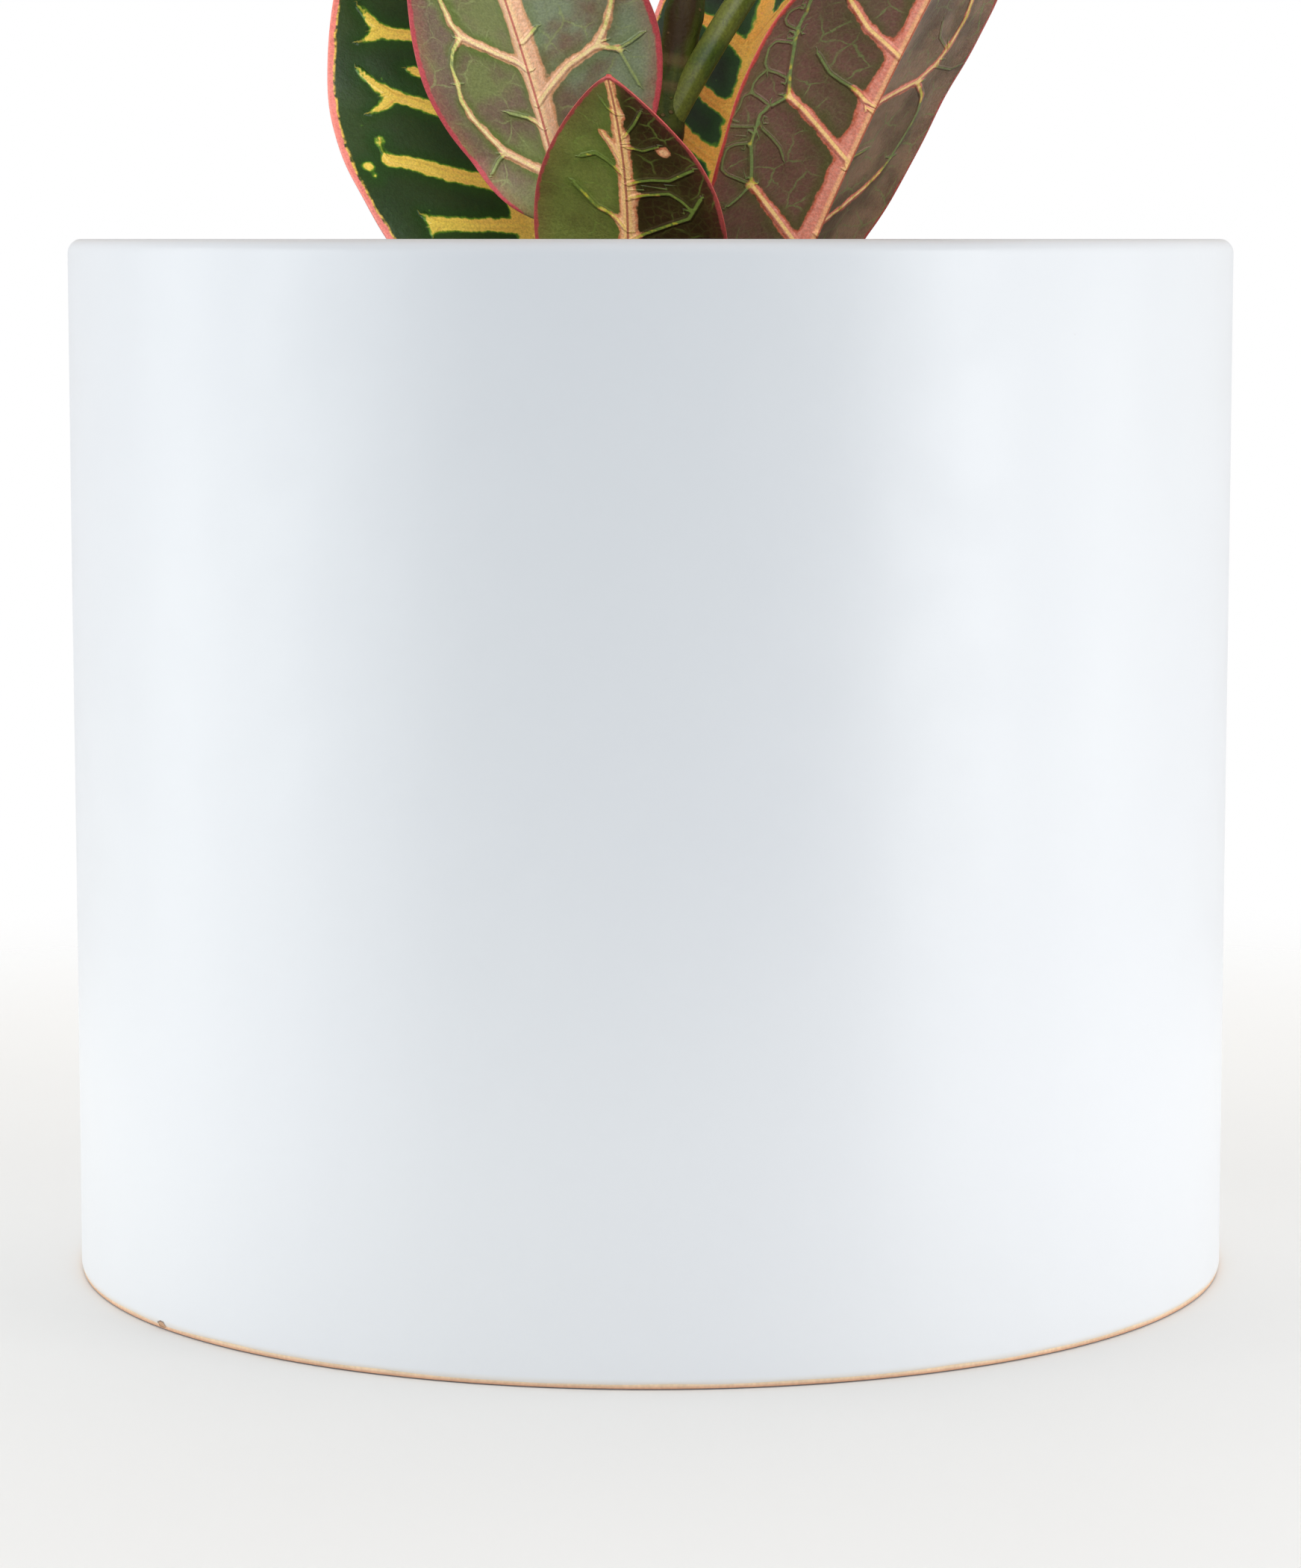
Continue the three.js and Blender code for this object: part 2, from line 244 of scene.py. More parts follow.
@dataclass(frozen=True)
class LeafFinish:
    """The colours of a leaf's two faces and how boldly they are drawn.

    The names that begin with under belong to the lower face. Widths are in millimetres; ragged, net, islands,
    blush, near_left and clouds say how much of a thing shows, from 0 upwards.
    """

    GRAINS_PER_METRE = 2600.0
    PIT_DEPTH = 0.00009
    RIDGE_HEIGHT = 0.00016

    name: str
    blade: Colour
    blade_patch: Colour
    blade_near: Colour
    vein: Colour
    vein_deep: Colour
    vein_rim: Colour
    margin: Colour
    under_left: Colour
    under_right: Colour
    under_patch: Colour
    under_near: Colour
    under_band: Colour
    under_edge: Colour
    under_core: Colour
    under_lime: Colour
    under_net: Colour
    under_margin: Colour
    stalk: Colour
    stalk_light: Colour
    ragged: float = 1.0
    net: float = 0.5
    islands: float = 0.5
    margin_width: float = 1.2
    under_margin_width: float = 0.95
    blush: float = 0.15
    near_left: float = 0.6
    clouds: float = 1.0
    roughness: float = 0.42

    def material(self) -> bpy.types.Material:
        """Both faces of the leaf in one material, told apart by what the mesh carries.

        Returns:
            The finished material.
        """
        recipe = Recipe(self.name)
        place = recipe.attribute("leaf_mm", "Vector")
        _, across, own_number = recipe.axes(place)
        rough_edge = recipe.math("SUBTRACT", recipe.noise(place, 0.33, 3.0, 0.6), 0.5)
        fibre = recipe.noise(recipe.stretched(place, (0.35, 1.0, 1.0)), 0.75, 2.0)
        zone = recipe.plus(recipe.attribute("vein_zone"), recipe.times(rough_edge, 2.4 * self.ragged))
        zone = recipe.plus(zone, recipe.times(recipe.math("SUBTRACT", fibre, 0.5), 0.9))
        margin = recipe.plus(recipe.attribute("margin_mm"), recipe.times(rough_edge, 1.3))
        upper = self._upper(recipe, place, zone, margin)
        lower = self._lower(recipe, place, across, zone, margin)
        faces = recipe.blend(recipe.attribute("upper_face"), lower, upper)
        on_stalk = recipe.attribute("stalk_share")
        colour = recipe.blend(on_stalk, faces, self._stalk(recipe))
        tint = recipe.node("TexWhiteNoise", {"W": own_number}, noise_dimensions="1D").outputs[0]
        colour = recipe.shade(colour, recipe.ramp(tint, 0.0, 1.0, 0.93, 1.07))
        grain = recipe.noise(recipe.place(), self.GRAINS_PER_METRE, 3.0, 0.65)
        colour = recipe.shade(colour, recipe.ramp(grain, 0.25, 0.75, 0.8, 1.2))
        gloss = recipe.ramp(grain, 0.25, 0.75, self.roughness - 0.04, self.roughness + 0.08)
        off_stalk = recipe.math("SUBTRACT", 1.0, on_stalk)
        pits = recipe.times(recipe.noise(place, 1.4, 3.0, 0.6), off_stalk)
        ridges = recipe.times(self._line(recipe, 0.9), off_stalk)
        relief = recipe.bump(ridges, self.RIDGE_HEIGHT, recipe.bump(pits, self.PIT_DEPTH))
        return recipe.finish(
            Base_Color=colour, Roughness=gloss, Normal=relief, Specular_IOR_Level=0.42,
            Subsurface_Weight=0.35, Subsurface_Radius=(1.0, 1.0, 0.5), Subsurface_Scale=0.0008,
        )

    def _stalk(self, recipe: Recipe) -> Socket:
        """The colour of the leaf stalk.

        Args:
            recipe: the material in the making.

        Returns:
            Soft patches of its two greens, with fine specks.
        """
        patches = recipe.ramp(recipe.noise(recipe.place(), 130.0, 2.0), 0.35, 0.65)
        specks = recipe.ramp(recipe.noise(recipe.place(), 1900.0, 2.0), 0.35, 0.65, 0.82, 1.16)
        return recipe.shade(recipe.blend(patches, self.stalk, self.stalk_light), specks)

    def _line(self, recipe: Recipe, half_width: float) -> Socket:
        """Where the veins' own lines are drawn.

        Args:
            recipe: the material in the making.
            half_width: half the line of a strong vein, in millimetres; a weak vein's is narrower.

        Returns:
            1 on the line of each vein, less where it is weak, and 0 away from it.
        """
        strength = recipe.attribute("vein_strength")
        away = recipe.math("ABSOLUTE", recipe.attribute("vein_core"))
        away = recipe.math("DIVIDE", away, recipe.ramp(strength, 0.2, 1.0, 0.5, 1.0))
        on_line = recipe.ramp(away, half_width, half_width * 0.4)
        near = recipe.ramp(recipe.attribute("vein_gap"), 1.6, 0.9)
        drawn = recipe.ramp(strength, 0.0, 0.7, 0.3, 1.0)
        return recipe.times(recipe.times(on_line, near), drawn)

    def _upper(self, recipe: Recipe, place: Socket, zone: Socket, margin: Socket) -> Socket:
        """The colour of the face that looks up.

        Args:
            recipe: the material in the making.
            place: along and across the blade, in millimetres.
            zone: the ragged distance from the veins' bands, below 0 inside them.
            margin: the ragged distance from the blade's edge.

        Returns:
            Dark green, with bold veins, small islands near them and a red margin.
        """
        patch = recipe.ramp(recipe.noise(place, 0.05, 3.0), 0.36, 0.64)
        from_veins = recipe.attribute("vein_zone")
        colour = recipe.blend(patch, self.blade, self.blade_patch)
        near = recipe.times(recipe.ramp(from_veins, 3.2, 0.6), 0.7)
        colour = recipe.blend(near, colour, self.blade_near)
        dots = recipe.ramp(recipe.noise(place, 0.46, 2.0), 0.715, 0.745)
        dots = recipe.times(dots, recipe.ramp(from_veins, 5.0, 1.5))
        colour = recipe.blend(recipe.times(dots, self.islands), colour, self.vein_rim)
        colour = recipe.blend(recipe.ramp(zone, 0.55, 0.0), colour, self.vein_rim)
        gold = recipe.blend(patch, self.vein, self.vein_deep)
        rust = recipe.ramp(recipe.noise(place, 0.7, 3.0, 0.6), 0.62, 0.7)
        gold = recipe.blend(recipe.times(rust, 0.3), gold, self.margin)
        colour = recipe.blend(recipe.ramp(zone, 0.2, -0.12), colour, gold)
        fine = recipe.times(self._line(recipe, 0.28), 0.35)
        colour = recipe.blend(fine, colour, self.vein)
        beads = recipe.ramp(recipe.noise(place, 0.8, 2.0), 0.35, 0.6)
        inner_rim = recipe.ramp(margin, self.margin_width + 0.55, self.margin_width + 0.1)
        colour = recipe.blend(recipe.times(inner_rim, beads), colour, self.vein_deep)
        edge = recipe.ramp(margin, self.margin_width + 0.15, self.margin_width - 0.2)
        return recipe.blend(edge, colour, self.margin)

    def _ground(self, recipe: Recipe, place: Socket, across: Socket, margin: Socket) -> Socket:
        """The lower face between its veins.

        Args:
            recipe: the material in the making.
            place: along and across the blade, in millimetres.
            across: the place's second number.
            margin: the ragged distance from the blade's edge.

        Returns:
            A colour for each half, with clouds, greener near the veins and redder at the margin; on some
            leaves the halves' colours partly hold painted sheen on the lighter half and painted shade on the
            darker one.
        """
        half = recipe.plus(across, recipe.times(recipe.noise(place, 0.07, 3.0), 9.0))
        colour = recipe.blend(recipe.ramp(half, 3.0, 6.5), self.under_right, self.under_left)
        cloud = recipe.ramp(recipe.noise(place, 0.085, 3.0, 0.55), 0.42, 0.62, 0.0, self.clouds)
        colour = recipe.blend(cloud, colour, self.under_patch)
        drift = recipe.times(recipe.noise(place, 0.13, 3.0, 0.6), 6.0)
        drift = recipe.plus(recipe.attribute("vein_zone"), drift)
        reach = recipe.ramp(half, 3.0, 6.5, 0.85, self.near_left)
        near = recipe.times(recipe.ramp(drift, 5.2, 2.6), reach)
        colour = recipe.blend(near, colour, self.under_near)
        blush = recipe.times(recipe.ramp(margin, 4.5, 0.5), self.blush)
        return recipe.blend(blush, colour, self.under_margin)

    def _lower(self, recipe: Recipe, place: Socket, across: Socket, zone: Socket, margin: Socket) -> Socket:
        """The colour of the face that looks down.

        Args:
            recipe: the material in the making.
            place: along and across the blade, in millimetres.
            across: the place's second number, more than 0 on the left half.
            zone: the ragged distance from the veins' bands, below 0 inside them.
            margin: the ragged distance from the blade's edge.

        Returns:
            The ground with a fine net, a pink band along each vein, its thread, a painted shadow line along
            the midrib's crease and a red margin.
        """
        colour = self._ground(recipe, place, across, margin)
        net = recipe.times(self._net(recipe, place), self.net)
        colour = recipe.blend(net, colour, self.under_net)
        grains = recipe.ramp(recipe.noise(place, 1.7, 3.0, 0.7), 0.36, 0.64)
        edge = recipe.blend(recipe.times(grains, 0.5), self.under_edge, self.under_band)
        colour = recipe.blend(recipe.times(recipe.ramp(zone, 0.35, 0.0), 0.8), colour, edge)
        band = recipe.blend(recipe.times(grains, 0.4), self.under_band, self.under_edge)
        colour = recipe.blend(recipe.ramp(zone, -0.05, -0.4), colour, band)
        thread = recipe.blend(recipe.ramp(zone, -0.45, 0.05), self.under_core, self.under_lime)
        thread = recipe.blend(recipe.ramp(zone, 0.0, 0.38), thread, self.under_net)
        colour = recipe.blend(self._line(recipe, 0.42), colour, thread)
        from_crease = recipe.math("ABSOLUTE", across)
        flank = recipe.times(recipe.ramp(from_crease, 0.95, 0.55), recipe.ramp(zone, 0.0, -0.4))
        colour = recipe.blend(recipe.times(flank, 0.45), colour, self.under_core)
        # painted shade: a thin dark red line along the crease beside the keel, in the margin's colour
        painted_crease_shade = recipe.times(recipe.ramp(from_crease, 0.28, 0.12), 0.8)
        colour = recipe.blend(painted_crease_shade, colour, self.under_margin)
        width = self.under_margin_width
        return recipe.blend(recipe.ramp(margin, width + 0.15, width - 0.3), colour, self.under_margin)

    def _net(self, recipe: Recipe, place: Socket) -> Socket:
        """The fine net of the smallest veins.

        Args:
            recipe: the material in the making.
            place: along and across the blade, in millimetres.

        Returns:
            1 on its threads, fading in and out, and 0 between them.
        """
        sway = recipe.node("TexNoise", {"Vector": place, "Scale": 0.35, "Detail": 2.0}).outputs["Color"]
        feeds = {0: sway, 1: (2.2, 2.2, 0.0), 2: place}
        swayed = recipe.node("VectorMath", feeds, operation="MULTIPLY_ADD").outputs[0]
        cells = []
        for scale in (0.19, 0.62):
            feeds = {"Vector": swayed, "Scale": scale, "Randomness": 1.0}
            cell = recipe.node("TexVoronoi", feeds, voronoi_dimensions="2D", feature="DISTANCE_TO_EDGE")
            cells.append(cell.outputs["Distance"])
        shown = recipe.ramp(recipe.noise(place, 0.16, 2.0), 0.4, 0.6, 0.15, 1.0)
        threads = recipe.times(recipe.ramp(cells[0], 0.05, 0.015), shown)
        faint = recipe.times(recipe.ramp(cells[1], 0.12, 0.03), 0.22)
        outside = recipe.ramp(recipe.attribute("vein_zone"), 0.4, 1.8)
        return recipe.times(recipe.math("MAXIMUM", threads, faint), outside)


GREEN_LEAF = LeafFinish(
    name="green_leaf",
    blade=paint(58, 84, 42),
    blade_patch=paint(46, 70, 34),
    blade_near=paint(44, 84, 28),
    vein=paint(232, 202, 96),
    vein_deep=paint(230, 180, 84),
    vein_rim=paint(120, 156, 52),
    margin=paint(222, 118, 98),
    under_left=paint(118, 128, 84),
    under_right=paint(110, 122, 78),
    under_patch=paint(122, 112, 88),
    under_near=paint(98, 122, 62),
    under_band=paint(228, 184, 146),
    under_edge=paint(216, 150, 104),
    under_core=paint(248, 222, 166),
    under_lime=paint(200, 206, 106),
    under_net=paint(146, 164, 92),
    under_margin=paint(176, 80, 70),
    stalk=paint(104, 116, 46),
    stalk_light=paint(136, 144, 70),
)
BRONZE_LEAF = replace(
    GREEN_LEAF,
    name="bronze_leaf",
    blade=paint(60, 76, 38),
    blade_patch=paint(66, 56, 34),
    blade_near=paint(52, 80, 28),
    vein=paint(226, 164, 86),
    vein_deep=paint(218, 118, 88),
    vein_rim=paint(142, 124, 54),
    margin=paint(190, 72, 70),
    under_left=paint(122, 96, 76),
    under_right=paint(118, 96, 74),
    under_patch=paint(104, 82, 68),
    under_near=paint(92, 96, 50),
    under_band=paint(214, 146, 122),
    under_edge=paint(202, 96, 70),
    under_core=paint(240, 196, 140),
    under_lime=paint(188, 176, 76),
    under_net=paint(120, 134, 78),
    under_margin=paint(172, 56, 66),
    stalk=paint(116, 104, 52),
    stalk_light=paint(142, 120, 74),
)
TUFT_LEAF = replace(
    GREEN_LEAF,
    name="tuft_leaf",
    blade=paint(96, 130, 46),
    blade_patch=paint(76, 112, 40),
    blade_near=paint(104, 142, 44),
    vein=paint(232, 214, 96),
    vein_deep=paint(226, 202, 84),
    vein_rim=paint(170, 188, 74),
    margin=paint(190, 150, 78),
    under_left=paint(136, 158, 78),
    under_right=paint(126, 150, 72),
    under_patch=paint(122, 142, 74),
    under_near=paint(126, 156, 70),
    under_band=paint(222, 206, 124),
    under_edge=paint(206, 190, 100),
    under_margin=paint(190, 140, 84),
    stalk=paint(124, 142, 60),
    stalk_light=paint(150, 164, 82),
    ragged=0.8,
    islands=0.3,
    margin_width=0.6,
    under_margin_width=0.5,
)
DARK_LEAF = replace(
    GREEN_LEAF,
    name="dark_leaf",
    blade=paint(47, 72, 34),
    blade_patch=paint(34, 61, 29),
    blade_near=paint(30, 72, 20),
    vein=paint(244, 220, 96),
    vein_deep=paint(242, 204, 96),
    vein_rim=paint(100, 156, 40),
    margin=paint(240, 140, 130),
    ragged=0.6,
    margin_width=1.1,
)
OLIVE_UNDERSIDE = replace(
    GREEN_LEAF,
    name="olive_underside",
    # olive leaf colour, turned grey-blue on this half as a partly painted sheen
    under_left=paint(130, 140, 112),
    under_right=paint(122, 128, 78),
    under_patch=paint(120, 100, 82),
    under_near=paint(98, 116, 50),
    under_band=paint(234, 190, 156),
    under_edge=paint(222, 156, 110),
    under_core=paint(250, 222, 164),
    under_lime=paint(206, 206, 118),
    under_net=paint(150, 162, 102),
    under_margin=paint(184, 76, 82),
    ragged=0.3,
    under_margin_width=1.1,
    blush=0.25,
    near_left=0.4,
)
BROWN_UNDERSIDE = replace(
    BRONZE_LEAF,
    name="brown_underside",
    # brown-purple leaf colour, lightened on this half as a partly painted sheen
    under_left=paint(132, 104, 82),
    under_right=paint(108, 76, 64),
    under_patch=paint(98, 76, 58),
    under_near=paint(84, 82, 44),
    under_band=paint(216, 146, 126),
    under_edge=paint(206, 98, 72),
    under_core=paint(250, 206, 138),
    under_lime=paint(190, 174, 70),
    under_net=paint(112, 128, 74),
    under_margin=paint(168, 62, 56),
    ragged=0.5,
    net=0.6,
    under_margin_width=0.55,
    blush=0.05,
    near_left=0.25,
)
OLIVE_BROWN_UNDERSIDE = replace(
    BRONZE_LEAF,
    name="olive_brown_underside",
    # dark brown leaf colour, darkened on this half as a partly painted shade
    under_left=paint(56, 38, 18),
    under_right=paint(114, 122, 58),
    under_patch=paint(72, 58, 28),
    under_near=paint(92, 108, 40),
    under_band=paint(253, 206, 152),
    under_edge=paint(230, 128, 88),
    under_core=paint(252, 214, 124),
    under_lime=paint(200, 196, 66),
    under_net=paint(118, 138, 62),
    under_margin=paint(166, 74, 70),
    ragged=0.7,
    net=0.55,
    under_margin_width=0.7,
    blush=0.1,
    near_left=0.15,
    clouds=0.35,
)


# ---- The photograph's view ----


@dataclass(frozen=True)
class PhotoView:
    """Where the photograph was taken from: level with the rim, looking a little down."""

    frame_px: tuple[int, int] = (1743, 2100)
    distance: float = 801.0
    height: float = 178.0
    pitch: float = 6.746
    focal_px: float = 6171.0
    sensor: float = 36.0

    def project(self, points: np.ndarray) -> np.ndarray:
        """Where points fall in the photograph.

        Args:
            points: rows of x, y, z in millimetres.

        Returns:
            Rows of pixels, counted right and down from the top left corner.
        """
        cos, sin = math.cos(math.radians(self.pitch)), math.sin(math.radians(self.pitch))
        away = points[:, 1] + self.distance
        above = points[:, 2] - self.height
        depth = away * cos - above * sin
        rise = away * sin + above * cos
        right = self.frame_px[0] / 2 + self.focal_px * points[:, 0] / depth
        down = self.frame_px[1] / 2 - self.focal_px * rise / depth
        return np.stack([right, down], 1)

    def place_camera(self) -> None:
        """Adds the camera and makes it the scene's own."""
        data = bpy.data.cameras.new("photo_camera")
        data.sensor_fit = "HORIZONTAL"
        data.sensor_width = self.sensor
        data.lens = self.focal_px * self.sensor / self.frame_px[0]
        data.clip_start = 0.01
        camera = bpy.data.objects.new("photo_camera", data)
        camera.location = (0, -self.distance * MM, self.height * MM)
        camera.rotation_euler = (math.radians(90 - self.pitch), 0, 0)
        bpy.context.scene.collection.objects.link(camera)
        bpy.context.scene.camera = camera


# ---- Veins ----


@dataclass(frozen=True)
class Vein:
    """A vein as a path across the flat blade, in millimetres across and along it.

    zones is the half width of its coloured band at each point, and core how clearly its line is drawn.
    """

    path: np.ndarray
    zones: np.ndarray
    core: float = 1.0


@dataclass(frozen=True)
class Traced:
    """A vein or an island read off the photograph.

    pixels above the photograph's top edge are guessed. zones is the half width of its band in millimetres,
    below 0 where only its line shows. A rooted vein is drawn on to the midrib, which another leaf hides.
    """

    pixels: tuple[tuple[float, float], ...]
    zones: tuple[float, ...]
    core: float = 1.0
    rooted: bool = False


THREAD = (-0.4, -0.4)


class Venation:
    """All the veins of a leaf, and how far each point of the blade lies from them."""

    SOFTNESS = 0.4

    def __init__(self, veins: list[Vein]) -> None:
        """Keeps the veins."""
        self.veins = veins

    def fields(self, spots: np.ndarray) -> dict[str, np.ndarray]:
        """Distances from the veins, for the finish and the relief.

        Args:
            spots: rows of across and along, in millimetres.

        Returns:
            vein_zone, the distance from the coloured bands, below 0 inside them; vein_core, the distance from
            the nearest vein's line with the sign of its side; vein_gap, the same without a sign; and
            vein_strength, how clearly that line is drawn.
        """
        count = len(spots)
        heat = np.full(count, 1e-12)
        gap = np.full(count, 50.0)
        core = np.full(count, 50.0)
        strength = np.zeros(count)
        for vein in self.veins:
            starts, ends = vein.path[:-1], vein.path[1:]
            runs = ends - starts
            reach = spots[:, None, :] - starts[None]
            lengths = np.maximum((runs**2).sum(1), 1e-9)
            share = np.clip((reach * runs[None]).sum(2) / lengths, 0, 1)
            offset = reach - share[..., None] * runs[None]
            away = np.hypot(offset[..., 0], offset[..., 1])
            zones = vein.zones[:-1] + (vein.zones[1:] - vein.zones[:-1]) * share
            heat += np.exp(-np.maximum((away - zones).min(1), -9) / self.SOFTNESS)
            if vein.core <= 0:
                continue
            nearest = away.argmin(1)
            rows = np.arange(count)
            distance = away[rows, nearest]
            run, aside = runs[nearest], reach[rows, nearest]
            turn = run[:, 0] * aside[:, 1] - run[:, 1] * aside[:, 0]
            closer = distance < gap
            gap[closer] = distance[closer]
            core[closer] = (distance * np.where(turn < 0, -1, 1))[closer]
            strength[closer] = vein.core
        zone = -self.SOFTNESS * np.log(heat)
        return {"vein_zone": zone, "vein_core": core, "vein_gap": gap, "vein_strength": strength}


# ---- Leaves ----


@dataclass(frozen=True)
class LeafForm:
    """How a leaf leaves its stem and the shape of its blade, by the same rule as the solid it replaces.

    along is the leaf's place on its stem, 0 at the foot and 1 at the tip. azimuth and elevation are the
    heading of its midrib, which turns and droops from root to tip. widest is the share of the blade at which
    it is widest, and stalk the stalk's radius as a share of the blade's width.
    """

    FLAT_AFTER = 0.16
    LEFT_LAG = 0.37
    FRILL = 0.12
    GROOVE = 0.05
    GROOVE_WIDTH = 0.07
    ARCH = 0.1

    along: float
    azimuth: float
    elevation: float
    length: float
    width: float
    petiole: float
    turn: float = 0.0
    droop: float = 0.0
    roll: float = 0.0
    fold: float = 13.0
    widest: float = 0.46
    wave: float = 1.4
    waves: float = 2.5
    phase: float = 0.0
    stalk: float = 0.042

    @property
    def start(self) -> float:
        """The share of the midrib that is stalk."""
        return self.petiole / (self.petiole + self.length)

    def midrib(self, root: np.ndarray) -> np.ndarray:
        """The midrib's curve.

        Args:
            root: where it starts, on the stem's axis.

        Returns:
            Its four control points.
        """
        third = (self.petiole + self.length) / 3
        points = [root]
        for bend in (-0.5, 0.0, 0.5):
            azimuth = math.radians(self.azimuth + bend * self.turn)
            elevation = math.radians(self.elevation - (bend + 0.5) * self.droop)
            flat = math.cos(elevation)
            heading = np.array([flat * math.cos(azimuth), flat * math.sin(azimuth), math.sin(elevation)])
            points.append(points[-1] + heading * third)
        return np.array(points)

    def half_width(self, share: np.ndarray) -> np.ndarray:
        """Half the blade's width at a share from its base to its tip."""
        warp = math.log(0.5) / math.log(self.widest)
        return self.width / 2 * np.maximum(np.sin(np.pi * share**warp), 0) ** 0.8

    def stations(self, rows: int) -> tuple[np.ndarray, np.ndarray]:
        """One station for each row of the mesh, closer together at the blade's two ends.

        Args:
            rows: the number of strips from the root to the tip.

        Returns:
            The shares along the whole midrib, and the shares along the blade, 0 on the stalk.
        """
        on_stalk = rows // 8
        even = np.linspace(0, 1, rows + 1 - on_stalk)
        blade = 0.5 * even + 0.25 * (1 - np.cos(np.pi * even))
        stalk = np.linspace(0, self.start, on_stalk, endpoint=False)
        along = np.concatenate([stalk, self.start + (1 - self.start) * blade])
        return along, np.concatenate([np.zeros(on_stalk), blade])

    def skin(
        self, root: np.ndarray, along: np.ndarray, share: np.ndarray, v: np.ndarray
    ) -> dict[str, np.ndarray]:
        """The middle surface of the leaf and what stands on it.

        Args:
            root: where the midrib starts, on the stem's axis.
            along: shares along the whole midrib.
            share: shares along the blade.
            v: places across the blade, from 1 at its left edge to -1 at its right.

        Returns:
            middle, the points; up, the upper face's direction; across, the flat distance from the midrib;
            width, the distance from the midrib to the edge; stalk, the stalk's radius; and flat, which runs
            from 0 on the stalk to 1 on the blade.
        """
        control = self.midrib(root)
        t, s = along[:, None], 1 - along[:, None]
        middle = s**3 * control[0] + 3 * s * s * t * control[1]
        middle = middle + 3 * s * t * t * control[2] + t**3 * control[3]
        runs = np.diff(control, axis=0)
        forward = s * s * runs[0] + 2 * s * t * runs[1] + t * t * runs[2]
        forward /= np.linalg.norm(forward, axis=1, keepdims=True)
        heading = np.radians(self.azimuth + self.turn * (along - 0.5))
        level = np.stack([-np.sin(heading), np.cos(heading), np.zeros_like(heading)], 1)
        level -= forward * (forward * level).sum(1, keepdims=True)
        level /= np.linalg.norm(level, axis=1, keepdims=True)
        roll = math.radians(self.roll)
        side = level * math.cos(roll) + np.cross(forward, level) * math.sin(roll)
        up = np.cross(forward, side)
        stalk = self.width * self.stalk * (1 - 0.7 * share)
        width = np.maximum(stalk, self.half_width(share))
        flat = smoothstep(share, 0, self.FLAT_AFTER)
        fold = math.radians(self.fold) * flat
        swing = self.waves * share + self.phase + np.where(v > 0, self.LEFT_LAG, 0)
        bulge = np.sin(np.pi * share)
        wave = self.wave * np.sin(2 * np.pi * swing) * v * v * bulge
        frill = self.FRILL * self.wave * np.sin(2 * np.pi * (3.1 * swing + 0.2)) * v**6 * bulge
        reach = np.abs(v) - self.GROOVE * np.exp(-((v / self.GROOVE_WIDTH) ** 2))
        arch = self.ARCH * np.abs(v) * (1 - np.abs(v)) * width * flat
        rise = reach * width * np.sin(fold) + wave + frill + arch
        middle = middle + side * (v * width * np.cos(fold))[:, None] + up * rise[:, None]
        across = v * width
        return {"middle": middle, "up": up, "across": across, "width": width, "stalk": stalk, "flat": flat}


@dataclass(frozen=True)
class Leaf:
    """A leaf with its name, its finish and the veins that the photograph shows on it.

    boldness widens the veins that grow by rule, and spacing sets them further apart. On hidden_half, 1 for
    the left and -1 for the right, they all grow by rule. band is the half width of the midrib's coloured band
    at four stations, and band_shift how far to the left it starts. mesh is its squares across and along.
    """

    name: str
    form: LeafForm
    finish: LeafFinish = GREEN_LEAF
    boldness: float = 1.0
    spacing: float = 1.0
    traced: tuple[Traced, ...] = ()
    hidden_half: int = 0
    band: tuple[float, float, float, float] = (3.0, 2.3, 1.5, 0.5)
    band_shift: float = 0.0
    mesh: tuple[int, int] = (38, 90)


